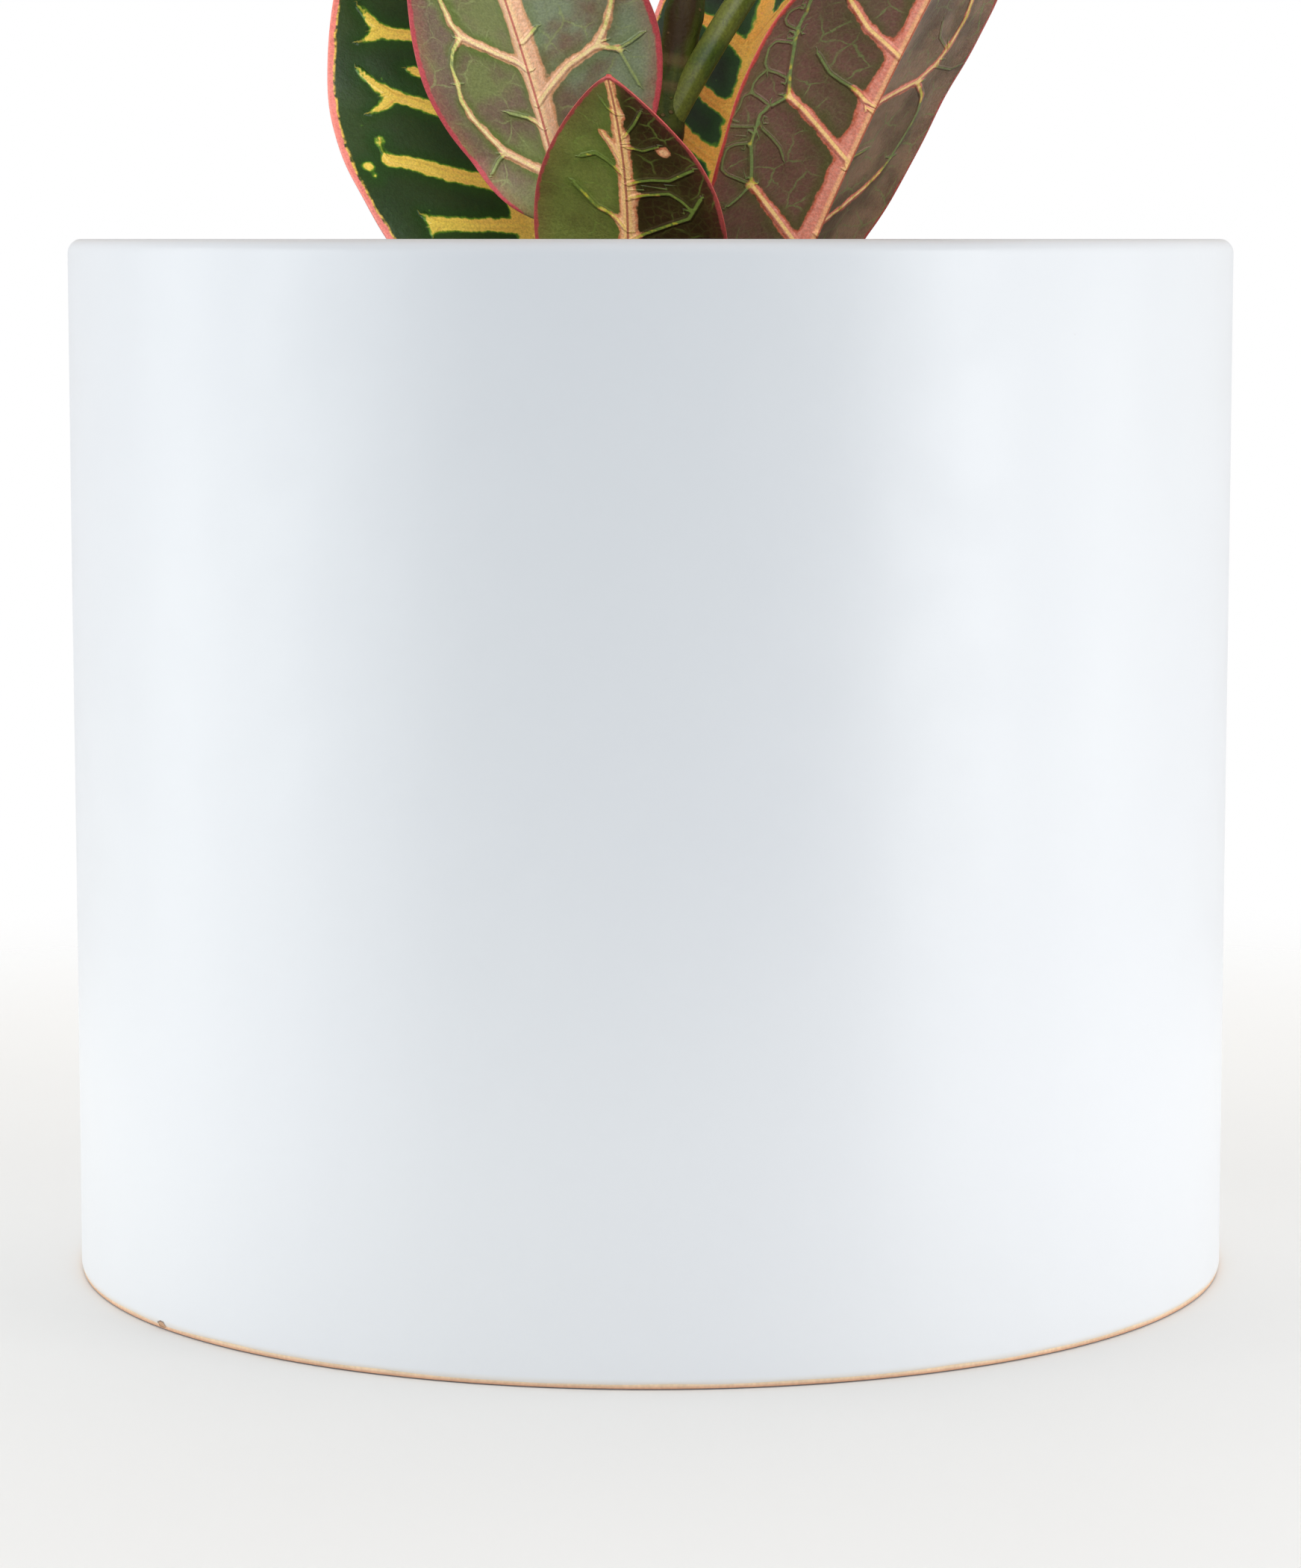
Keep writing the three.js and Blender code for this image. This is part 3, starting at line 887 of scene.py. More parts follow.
class VeinGrower:
    """Grows the veins of a leaf by rule: side veins that fork and join in loops, stubs and islands."""

    USUAL_WIDTH = 50.0
    LAST_VEIN = 0.93
    ANGLES = (60, 34)
    GAPS = (0.13, 0.085)
    BEND = 2.2
    STUB_CHANCE = 0.75

    def __init__(self, leaf: Leaf, dice: np.random.Generator) -> None:
        """Keeps what the veins grow from.

        Args:
            leaf: the leaf, which says how bold they are.
            dice: the draws that vary them.
        """
        self.leaf = leaf
        self.form = leaf.form
        self.bold = leaf.boldness * leaf.form.width / self.USUAL_WIDTH
        self.dice = dice

    def half(self, along: float) -> float:
        """Half the blade's width at a distance from its base."""
        share = min(max(along / self.form.length, 0.0), 1.0)
        return float(self.form.half_width(np.array([share]))[0])

    def midrib(self) -> Vein:
        """The band along the midrib, which lies a little to one side of it on some leaves.

        Returns:
            The band as a vein without a line.
        """
        length, shift = self.form.length, self.leaf.band_shift
        shares = (-self.form.petiole / length, 0, 0.25, 0.6, 1)
        path = np.array([(shift * (1 - max(share, 0)), share * length) for share in shares])
        bold = 1.0 if self.leaf.traced else self.bold
        return Vein(path, np.array([0.2, *self.leaf.band]) * bold, 0.0)

    def side(self, side: int, first: float) -> list[Vein]:
        """The veins of one half of the blade.

        Args:
            side: 1 for the left half, -1 for the right.
            first: the share of the blade from which they grow.

        Returns:
            Side veins, their forks and loops, stubs between them and islands beyond them.
        """
        length, dice = self.form.length, self.dice
        along = length * (max(first, 0.04) + dice.uniform(0, 0.04))
        veins, forks = [], []
        while along < self.LAST_VEIN * length:
            branch = self.branch(side, along)
            veins.append(branch)
            forks.append(branch.path[-1])
            gap = length * lerp(*self.GAPS, along / length) * dice.uniform(0.88, 1.14) * self.leaf.spacing
            if dice.uniform() < self.STUB_CHANCE:
                veins.append(self.stub(side, along + gap * dice.uniform(0.4, 0.6)))
            along += gap
        for low, high in zip(forks[:-1], forks[1:]):
            veins += self.loop(side, low, high)
        return veins

    def branch(self, side: int, along: float) -> Vein:
        """A side vein, which bends towards the leaf's tip and ends at its fork.

        Args:
            side: 1 for the left half, -1 for the right.
            along: where it leaves the midrib, in millimetres from the blade's base.

        Returns:
            The vein.
        """
        dice = self.dice
        angle = math.radians(lerp(*self.ANGLES, along / self.form.length) + dice.uniform(-4, 4))
        spot = np.array([0.0, along])
        path = [spot]
        limit = dice.uniform(0.52, 0.7)
        step = self.half(along) * 0.17
        for _ in range(12):
            spot = spot + step * np.array([side * math.sin(angle), math.cos(angle)])
            angle -= math.radians(self.BEND)
            path.append(spot)
            if abs(spot[0]) > limit * self.half(spot[1]):
                break
        zones = np.linspace(dice.uniform(1.2, 1.7), dice.uniform(0.75, 1.1), len(path))
        return Vein(np.array(path), zones * self.bold)

    def stub(self, side: int, along: float) -> Vein:
        """A short vein between two side veins.

        Args:
            side: 1 for the left half, -1 for the right.
            along: where it leaves the midrib, in millimetres from the blade's base.

        Returns:
            The vein.
        """
        angle = math.radians(lerp(66, 40, along / self.form.length))
        reach = self.half(along) * self.dice.uniform(0.15, 0.34)
        tip = np.array([side * math.sin(angle), math.cos(angle)]) * reach + np.array([0.0, along])
        return Vein(np.array([(0.0, along), tip]), np.array([0.8, 0.15]) * self.bold, 0.6)

    def loop(self, side: int, low: np.ndarray, high: np.ndarray) -> list[Vein]:
        """What joins the end of one side vein to the end of the next.

        Args:
            side: 1 for the left half, -1 for the right.
            low, high: the two ends.

        Returns:
            Two limbs that meet near the margin, a thread on to it and up to two islands.
        """
        dice, bold = self.dice, self.bold
        along = lerp(low[1], high[1], dice.uniform(0.45, 0.6))
        top = np.array([side * dice.uniform(0.78, 0.86) * self.half(along), along])
        rise = top * [1, 0.5] + low * [0, 0.5]
        fall = (top + high) / 2 + np.array([side * 0.4, -0.6])
        wide = np.array([dice.uniform(0.7, 1.0), dice.uniform(0.2, 0.6), -0.5]) * bold
        thin = np.array([dice.uniform(0.5, 0.9), dice.uniform(0.0, 0.4), -0.5]) * bold
        veins = [
            Vein(np.array([low, (low + rise) / 2, top]), wide, 0.75),
            Vein(np.array([high, fall, top]), thin, 0.7),
        ]
        edge = np.array([side * 0.97 * self.half(along + 4), along + 4])
        veins.append(Vein(np.array([top, edge]), np.array([-0.6, -0.6]), 0.45))
        for _ in range(dice.integers(0, 3)):
            spot = top + dice.uniform(-3.5, 3.5, 2)
            veins.append(Vein(np.array([spot, spot]), np.full(2, dice.uniform(0.2, 0.75)), 0.0))
        return veins


class LeafBuilder:
    """Turns a leaf into a closed mesh that carries its veins, margin and faces for the finish."""

    BLADE = 0.62
    EDGE_THINNING = 0.6
    QUILT = 0.35
    QUILT_REACH = 2.6
    KEEL = 0.032
    KEEL_HALF_WIDTH = 1.25
    PHOTO_EDGE = -20.0
    FAR = 5.0
    MAP_BORDER = 0.025
    MAP_WIDTH = 0.45
    MAP_HEIGHT = 0.95
    MAP_SKIRT = 0.012

    def __init__(self, view: PhotoView) -> None:
        """Keeps the photograph's view, through which traced veins are laid on a blade."""
        self.view = view
        self.sheets: dict[tuple[int, int], bpy.types.Mesh] = {}

    def sheet(self, columns: int, rows: int) -> bpy.types.Mesh:
        """A flat closed sheet from -1 to 1 both ways, made once and copied for each leaf.

        Args:
            columns, rows: how many squares it has across and along.

        Returns:
            A copy of its own.
        """
        if (columns, rows) not in self.sheets:
            flat = bmesh.new()
            bmesh.ops.create_grid(flat, x_segments=columns, y_segments=rows, size=1)
            bmesh.ops.solidify(flat, geom=flat.faces[:], thickness=1)
            mesh = bpy.data.meshes.new("flat_sheet")
            flat.to_mesh(mesh)
            flat.free()
            self.sheets[columns, rows] = mesh
        return self.sheets[columns, rows].copy()

    def seen_blade(self, form: LeafForm, root: np.ndarray) -> tuple[np.ndarray, np.ndarray]:
        """Many spots of a blade, and the pixels where the photograph shows them.

        Args:
            form: the leaf's form.
            root: where its midrib starts.

        Returns:
            Rows of across and along in millimetres, and rows of pixels.
        """
        grids = np.meshgrid(np.linspace(0, 1, 281), np.linspace(-1, 1, 181))
        share, v = (grid.ravel() for grid in grids)
        skin = form.skin(root, form.start + (1 - form.start) * share, share, v)
        return np.stack([skin["across"], share * form.length], 1), self.view.project(skin["middle"])

    def lay(self, traced: Traced, spots: np.ndarray, pixels: np.ndarray) -> Vein:
        """Lays a vein read off the photograph on the blade that it was seen on.

        Args:
            traced: the vein in the photograph.
            spots: spots of the blade.
            pixels: where the photograph shows each of them.

        Returns:
            The vein across the flat blade.
        """
        path = []
        for pixel in traced.pixels:
            away = ((pixels - np.array(pixel)) ** 2).sum(1)
            close = np.argsort(away)[:8]
            close = close[((spots[close] - spots[close[0]]) ** 2).sum(1) < 6]
            weight = 1 / (away[close] + 0.3)
            path.append((spots[close] * weight[:, None]).sum(0) / weight.sum())
        zones = traced.zones
        if traced.rooted:
            run = path[0] - path[1]
            reach = min(max(-path[0][0] / run[0] if run[0] else 0, 0), 30 / np.hypot(*run))
            path.insert(0, path[0] + run * reach)
            zones = (zones[0] * 1.15, *zones)
        if len(path) == 1:
            path = path * 2
        shares = np.linspace(0, 1, len(path))
        return Vein(np.array(path), np.interp(shares, np.linspace(0, 1, len(zones)), zones), traced.core)

    def venation(self, leaf: Leaf, root: np.ndarray, chance: int) -> Venation:
        """The leaf's veins: traced where the photograph shows them, grown by rule elsewhere.

        Args:
            leaf: the leaf.
            root: where its midrib starts.
            chance: the number that the rule's draws start from.

        Returns:
            All its veins.
        """
        grower = VeinGrower(leaf, np.random.default_rng(chance))
        veins, cut = [grower.midrib()], 0.0
        if leaf.traced:
            spots, pixels = self.seen_blade(leaf.form, root)
            veins += [self.lay(vein, spots, pixels) for vein in leaf.traced]
            shown = (np.abs(spots[:, 0]) < 0.5) & (pixels[:, 1] > self.PHOTO_EDGE)
            cut = spots[shown, 1].max() / leaf.form.length
        for side in (1, -1):
            veins += grower.side(side, 0.0 if side == leaf.hidden_half else cut)
        return Venation(veins)

    def build(self, leaf: Leaf, root: np.ndarray, chance: int) -> bpy.types.Mesh:
        """Builds the leaf's mesh.

        Args:
            leaf: the leaf.
            root: where its midrib starts, on the stem's axis.
            chance: the number that its rule-grown veins and its tint are drawn from.

        Returns:
            The mesh in metres, with the attributes that the finish reads.
        """
        columns, rows = leaf.mesh
        mesh = self.sheet(columns, rows)
        corners = np.zeros(len(mesh.vertices) * 3, np.float32)
        mesh.vertices.foreach_get("co", corners)
        corners = corners.reshape(-1, 3)
        column = np.rint((corners[:, 0] + 1) / 2 * columns).astype(int)
        row = np.rint((corners[:, 1] + 1) / 2 * rows).astype(int)
        upper = corners[:, 2] > corners[:, 2].mean()
        even = 1 - 2 * column / columns
        v = 0.55 * even + 0.45 * np.sin(np.pi / 2 * even)
        along, share = (values[row] for values in leaf.form.stations(rows))
        skin = leaf.form.skin(root, along, share, v)
        from_base = (along - leaf.form.start) / (1 - leaf.form.start) * leaf.form.length
        spots = np.stack([skin["across"], from_base], 1)
        fields = self.venation(leaf, root, chance).fields(spots)
        height = self.height(leaf.form, skin, share, v, fields["vein_zone"], upper)
        places = (skin["middle"] + skin["up"] * height[:, None]) * MM
        mesh.vertices.foreach_set("co", places.astype(np.float32).ravel())
        self.face_out(mesh)
        on_blade = smoothstep(share, 0.0, 0.05)
        margin = np.minimum((1 - np.abs(v)) * skin["width"], (1 - share) * leaf.form.length * 0.8 + 0.2)
        fields["margin_mm"] = np.where(share <= 0, self.FAR, margin + self.FAR * (1 - on_blade))
        stalk = 1 - on_blade * smoothstep(skin["width"], 2.0, 6.0)
        fields["stalk_share"] = np.where(share > 0.3, 0, stalk)
        fields["upper_face"] = upper.astype(float)
        own_number = np.full(len(v), chance * 7.3 + 11.0)
        fields["leaf_mm"] = np.stack([from_base, skin["across"], own_number], 1)
        for name, values in fields.items():
            self.carry(mesh, name, values)
        self.unwrap(mesh, column / columns, row / rows, upper)
        mesh.shade_smooth()
        return mesh

    def height(
        self,
        form: LeafForm,
        skin: dict[str, np.ndarray],
        share: np.ndarray,
        v: np.ndarray,
        zone: np.ndarray,
        upper: np.ndarray,
    ) -> np.ndarray:
        """How far a face stands off the middle surface.

        Args:
            form: the leaf's form.
            skin: the middle surface, as the form gives it.
            share: shares along the blade.
            v: places across the blade, from 1 to -1.
            zone: distances from the veins' bands.
            upper: whether a point belongs to the upper face.

        Returns:
            Heights in millimetres, with the quilting between the veins and the keel below the midrib.
        """
        stalk = skin["stalk"] * np.sqrt(1 - 0.97 * v * v)
        blade = self.BLADE / 2 * (1 - self.EDGE_THINNING * np.abs(v) ** 5)
        ridge = np.exp(-((skin["across"] / self.KEEL_HALF_WIDTH) ** 2))
        keel = np.minimum(form.width * self.KEEL * (1 - 0.9 * share) * ridge, skin["stalk"])
        between = 1 - np.exp(-((np.maximum(zone, 0) / self.QUILT_REACH) ** 2))
        quilt = self.QUILT * between * skin["flat"] * (1 - v**4)
        above = stalk + (blade - stalk) * skin["flat"] + quilt
        below = stalk + (blade + keel - stalk) * skin["flat"] - quilt
        return np.where(upper, above, -below)

    def face_out(self, mesh: bpy.types.Mesh) -> None:
        """Turns the faces over where the warp left them looking inwards.

        Args:
            mesh: the leaf's mesh.
        """
        shape = bmesh.new()
        shape.from_mesh(mesh)
        if shape.calc_volume(signed=True) < 0:
            bmesh.ops.reverse_faces(shape, faces=shape.faces[:])
            shape.to_mesh(mesh)
        shape.free()

    def carry(self, mesh: bpy.types.Mesh, name: str, values: np.ndarray) -> None:
        """Writes one value or vector for each vertex into the mesh.

        Args:
            mesh: the leaf's mesh.
            name: the attribute's name.
            values: a row, or a number, for each vertex.
        """
        kind, key = ("FLOAT_VECTOR", "vector") if values.ndim == 2 else ("FLOAT", "value")
        layer = mesh.attributes.new(name, kind, "POINT")
        layer.data.foreach_set(key, values.astype(np.float32).ravel())

    def unwrap(self, mesh: bpy.types.Mesh, column: np.ndarray, row: np.ndarray, upper: np.ndarray) -> None:
        """Lays the upper face on the left half of the map and the lower face on its right half.

        Args:
            mesh: the leaf's mesh.
            column, row: each vertex's place across and along the sheet, 0 to 1.
            upper: whether a vertex belongs to the upper face.
        """
        corner = np.zeros(len(mesh.loops), int)
        mesh.loops.foreach_get("vertex_index", corner)
        first = np.zeros(len(mesh.polygons), int)
        size = np.zeros(len(mesh.polygons), int)
        mesh.polygons.foreach_get("loop_start", first)
        mesh.polygons.foreach_get("loop_total", size)
        face = np.repeat(np.arange(len(first)), size)
        tops = np.bincount(face, weights=upper[corner])
        wall = (tops[face] > 0) & (tops[face] < size[face])
        low = ~upper[corner]
        left = self.MAP_BORDER + self.MAP_WIDTH * column[corner]
        spread = np.where(low & ~wall, left + 0.5, left)
        up = self.MAP_BORDER + self.MAP_HEIGHT * row[corner]
        skirted = low & wall
        spread += self.skirt(column[corner], skirted)
        up += self.skirt(row[corner], skirted)
        layer = mesh.uv_layers.new(name="OFBake")
        layer.data.foreach_set("uv", np.stack([spread, up], 1).astype(np.float32).ravel())

    def skirt(self, place: np.ndarray, skirted: np.ndarray) -> np.ndarray:
        """How far the leaf's thin edge is laid outside the upper face on the map.

        Args:
            place: places across or along the sheet, 0 to 1.
            skirted: whether a corner is a lower one of the edge.

        Returns:
            A small step outwards at both ends of the sheet, else 0.
        """
        outwards = (place == 1).astype(float) - (place == 0)
        return self.MAP_SKIRT * outwards * skirted


# ---- Pieces ----


def add_piece(
    name: str, mesh: bpy.types.Mesh, finish: bpy.types.Material, node: str
) -> bpy.types.Object:
    """Adds a finished mesh to the scene as a piece of the part.

    Args:
        name: the piece's name.
        mesh: its mesh, in place and in metres.
        finish: its material.
        node: the solid that it replaces.

    Returns:
        The new object.
    """
    mesh.materials.clear()
    mesh.materials.append(finish)
    piece = bpy.data.objects.new(name, mesh)
    bpy.context.scene.collection.objects.link(piece)
    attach(piece, "root")
    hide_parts(node)
    return piece


def mesh_from(shape: bmesh.types.BMesh, name: str) -> bpy.types.Mesh:
    """A smooth mesh from a finished bmesh.

    Args:
        shape: the bmesh, which is freed.
        name: the mesh's name.

    Returns:
        The mesh.
    """
    mesh = bpy.data.meshes.new(name)
    shape.to_mesh(mesh)
    shape.free()
    mesh.shade_smooth()
    return mesh


def arc(
    centre: tuple[float, float], radius: float, first: float, last: float, steps: int
) -> list[tuple[float, float]]:
    """Points along an arc of a turned profile, with both its ends."""
    angles = [math.radians(lerp(first, last, i / steps)) for i in range(steps + 1)]
    return [(centre[0] + radius * math.cos(a), centre[1] + radius * math.sin(a)) for a in angles]


def turn(profile: list[tuple[float, float]], segments: int) -> bmesh.types.BMesh:
    """Turns a profile of radius and height round the pot's axis into a closed shape.

    Args:
        profile: radius and height in millimetres, from the axis outwards and back to the axis.
        segments: the steps of the full turn.

    Returns:
        The shape in millimetres, with its faces looking outwards.
    """
    shape = bmesh.new()
    points = [shape.verts.new((radius, 0, height)) for radius, height in profile]
    lines = [shape.edges.new(pair) for pair in zip(points[:-1], points[1:])]
    bmesh.ops.spin(
        shape,
        geom=points + lines,
        cent=(0, 0, 0),
        axis=(0, 0, 1),
        angle=math.tau,
        steps=segments,
        use_merge=True,
    )
    bmesh.ops.remove_doubles(shape, verts=shape.verts[:], dist=0.0005)
    bmesh.ops.recalc_face_normals(shape, faces=shape.faces[:])
    return shape


def mark(shape: bmesh.types.BMesh, name: str, rule: Callable[[bmesh.types.BMVert], float]) -> None:
    """Gives every point of a shape a number that a finish reads.

    Args:
        shape: the shape.
        name: the number's name.
        rule: the number of a point.
    """
    layer = shape.verts.layers.float.new(name)
    for point in shape.verts:
        point[layer] = rule(point)


@dataclass(frozen=True)
class GlazeFinish:
    """Matt white glaze over peach clay, with pin specks, a chip in the foot, a soft tide mark inside and a
    painted contact shadow along the foot's lowest edge.

    chip_spot and tide_height are in metres.
    """

    RIPPLE_DEPTH = 0.00003
    SPECK_DEPTH = 0.00012
    CHIP_DEPTH = 0.0005

    glaze: Colour = paint(238, 240, 242)
    shadow: Colour = paint(236, 238, 241)
    speck: Colour = paint(92, 84, 78)
    thin: Colour = paint(228, 216, 196)
    clay: Colour = paint(250, 224, 190)
    clay_deep: Colour = paint(228, 176, 140)
    # painted contact shadow: the grey laid on the lowest edge of the foot
    painted_contact_shadow: Colour = paint(112, 106, 108)
    chip: Colour = paint(204, 160, 122)
    chip_spot: tuple[float, float, float] = (-0.0802, -0.0593, 0.0009)
    tide: Colour = paint(170, 150, 122)
    tide_height: float = 0.134
    speck_share: float = 0.05

    def material(self) -> bpy.types.Material:
        """Glaze where the pot is glazed and clay where it is bare.

        Returns:
            The finished material.
        """
        recipe = Recipe("matt_glaze")
        place = recipe.place()
        height = recipe.axes(place)[2]
        speck = self._specks(recipe, place)
        colour = recipe.blend(recipe.ramp(recipe.noise(place, 9, 3), 0.3, 0.7), self.glaze, self.shadow)
        colour = recipe.blend(speck, colour, self.speck)
        colour = recipe.blend(recipe.attribute("thin_glaze"), colour, self.thin)
        colour = recipe.blend(recipe.ramp(height, 0.0019, 0.001, 0.0, 0.4), colour, self.thin)
        stain = recipe.plus(height, recipe.times(recipe.noise(place, 60, 3), 0.008))
        stain = recipe.ramp(stain, self.tide_height + 0.006, self.tide_height)
        stain = recipe.times(stain, recipe.attribute("inner_wall"))
        colour = recipe.blend(recipe.times(stain, 0.55), colour, self.tide)
        grit = recipe.noise(place, 1500, 2)
        bare = recipe.attribute("bare_clay")
        colour = recipe.blend(bare, colour, self._clay(recipe, place, height, grit))
        chip = self._chip(recipe, place, grit)
        colour = recipe.blend(chip, colour, self.chip)
        gloss = recipe.ramp(recipe.noise(place, 90, 3), 0.3, 0.7, 0.3, 0.38)
        rough = recipe.node("Mix", {0: bare, 2: gloss, 3: 0.85}, data_type="FLOAT").outputs[0]
        relief = recipe.bump(recipe.noise(place, 420, 3), self.RIPPLE_DEPTH)
        relief = recipe.bump(recipe.times(speck, -1.0), self.SPECK_DEPTH, relief)
        relief = recipe.bump(recipe.times(chip, -1.0), self.CHIP_DEPTH, relief)
        return recipe.finish(Base_Color=colour, Roughness=rough, Normal=relief, Specular_IOR_Level=0.7)

    def _specks(self, recipe: Recipe, place: Socket) -> Socket:
        """The glaze's pin specks, one in a few of the cells that fill space.

        Args:
            recipe: the material in the making.
            place: where a point lies on the pot.

        Returns:
            1 on a speck and 0 beside it.
        """
        cells = recipe.node("TexVoronoi", {"Vector": place, "Scale": 75.0}, voronoi_dimensions="3D")
        chosen = recipe.math("LESS_THAN", recipe.axes(cells.outputs["Color"])[0], self.speck_share)
        spot = recipe.ramp(cells.outputs["Distance"], 0.042, 0.026)
        return recipe.times(recipe.times(chosen, spot), 1.06)

    def _clay(self, recipe: Recipe, place: Socket, height: Socket, grit: Socket) -> Socket:
        """The bare clay of the foot.

        Args:
            recipe: the material in the making.
            place: where a point lies on the pot.
            height: how high that is, in metres.
            grit: a fine noise.

        Returns:
            Peach clay, deeper towards the base, with a grey painted contact shadow along its lowest edge.
        """
        colour = recipe.blend(recipe.ramp(height, 0.0009, 0.0003), self.clay, self.clay_deep)
        colour = recipe.shade(colour, recipe.ramp(recipe.noise(place, 160, 4), 0.35, 0.65, 0.95, 1.03))
        colour = recipe.shade(colour, recipe.ramp(grit, 0.3, 0.7, 0.94, 1.05))
        # painted contact shadow: the lowest edge of the foot is darkened to grey where the pot meets the
        # floor
        return recipe.blend(recipe.ramp(height, 0.00032, 0.0001), colour, self.painted_contact_shadow)

    def _chip(self, recipe: Recipe, place: Socket, grit: Socket) -> Socket:
        """The small flat chip in the foot.

        Args:
            recipe: the material in the making.
            place: where a point lies on the pot.
            grit: a fine noise, which makes its edge uneven.

        Returns:
            1 in the chip and 0 beside it.
        """
        aside = recipe.node("VectorMath", {0: place, 1: self.chip_spot}, operation="SUBTRACT").outputs[0]
        away = recipe.length(recipe.stretched(aside, (1.0, 1.0, 2.2)))
        return recipe.ramp(recipe.plus(away, recipe.times(grit, 0.0008)), 0.0018, 0.0012)


@dataclass
class Pot:
    """The straight pot: thrown wall, rounded rim and a bare clay foot.

    glaze_edge is the height at which the glaze begins.
    """

    radius: float = 100.0
    height: float = 178.0
    wall: float = 6.0
    floor: float = 10.0
    rim_round: float = 2.4
    fillet: float = 9.0
    foot_round: float = 0.45
    glaze_edge: float = 1.0
    glaze_thickness: float = 0.16
    segments: int = 200
    finish: GlazeFinish = GlazeFinish()

    def profile(self) -> list[tuple[float, float]]:
        """The pot's turned outline, from the middle of its base up, over the rim and down to its inner floor.

        Returns:
            Pairs of radius and height.
        """
        clay = self.radius - self.glaze_thickness
        low = self.glaze_edge
        points = [(0.0, 0.0), (40.0, 0.0), (80.0, 0.0)]
        points += arc((clay - self.foot_round, self.foot_round), self.foot_round, -90, 0, 5)
        points += [(clay, low - 0.1), (clay + 0.5 * self.glaze_thickness, low), (self.radius, low + 0.12)]
        top = self.height - self.rim_round
        points += [(self.radius, lerp(low + 0.5, top, i / 40)) for i in range(40)]
        points += arc((self.radius - self.rim_round, top), self.rim_round, 0, 90, 9)
        inner = self.radius - self.wall
        points += arc((inner + self.rim_round, top), self.rim_round, 90, 180, 7)
        bottom = self.floor + self.fillet
        points += [(inner, lerp(top, bottom, i / 30)) for i in range(1, 30)]
        points += arc((inner - self.fillet, bottom), self.fillet, 0, -90, 8)
        return points + [(60.0, self.floor), (30.0, self.floor), (0.0, self.floor)]

    def thrown(self, point: bmesh.types.BMVert) -> None:
        """Moves a point as the maker's hands did: a wavy glaze edge and a slightly uneven wall.

        Args:
            point: a point of the turned shape, in millimetres.
        """
        x, y, z = point.co
        radius, azimuth = math.hypot(x, y), math.atan2(y, x)
        if radius < self.radius - 1.5:
            return
        wave = noise.noise(Vector((math.cos(azimuth), math.sin(azimuth), 0.3)) * 9)
        if abs(z - self.glaze_edge) < 0.2:
            point.co.z += 0.28 * wave
        elif z > self.glaze_edge:
            uneven = 0.05 * noise.noise(Vector((x, y, z)) * 0.02) - 0.05
            share = min((z - self.glaze_edge) / 6, 1)
            point.co.x += uneven * share * math.cos(azimuth)
            point.co.y += uneven * share * math.sin(azimuth)

    def build(self) -> bpy.types.Object:
        """Builds and dresses the pot.

        Returns:
            The pot as a piece of the part.
        """
        shape = turn(self.profile(), self.segments)
        inner = self.radius - self.wall
        top = self.height - self.rim_round

        def bare(point: bmesh.types.BMVert) -> float:
            """1 on bare clay."""
            return float(point.co.z < self.glaze_edge - 0.02)

        def thin(point: bmesh.types.BMVert) -> float:
            """How far the glaze has drawn back, from 0 to 1, which shows on the rim's outer edge."""
            outwards = point.co.xy.length - self.radius + self.rim_round
            turned = math.degrees(math.atan2(point.co.z - top, outwards))
            return 0.14 * math.exp(-(((turned - 62) / 12) ** 2)) if point.co.z > top + 0.1 else 0.0

        mark(shape, "bare_clay", bare)
        mark(shape, "thin_glaze", thin)
        mark(shape, "inner_wall", lambda point: float(point.co.xy.length < inner + 0.5 and point.co.z > 1))
        for point in shape.verts:
            self.thrown(point)
        shape.transform(Matrix.Scale(MM, 4))
        mesh = mesh_from(shape, "glazed_pot")
        return add_piece("glazed_pot", mesh, self.finish.material(), "pot")


@dataclass(frozen=True)
class EarthFinish:
    """A crumbly finish of two colours, for the mix, its bark, its clods and its white grains.

    grain is the number of spots per metre, and depth the relief in metres.
    """

    name: str
    colour: Colour
    second: Colour
    grain: float = 260.0
    depth: float = 0.0006
    roughness: float = 0.92

    def material(self) -> bpy.types.Material:
        """Two colours in a fine grain, with a shade of its own for each crumb.

        Returns:
            The finished material.
        """
        recipe = Recipe(self.name)
        place = recipe.place()
        grains = recipe.ramp(recipe.noise(place, self.grain, 4, 0.65), 0.35, 0.65)
        colour = recipe.blend(grains, self.colour, self.second)
        shade = recipe.ramp(recipe.attribute("crumb_shade"), 0.0, 1.0, 0.65, 1.3)
        colour = recipe.shade(colour, shade)
        relief = recipe.bump(recipe.noise(place, self.grain * 3, 4, 0.7), self.depth)
        return recipe.finish(
            Base_Color=colour, Roughness=self.roughness, Normal=relief, Specular_IOR_Level=0.25
        )


class Crumb(Enum):
    """What lies loose on the potting mix."""

    BARK = "bark"
    GRIT = "grit"
    CLOD = "clod"


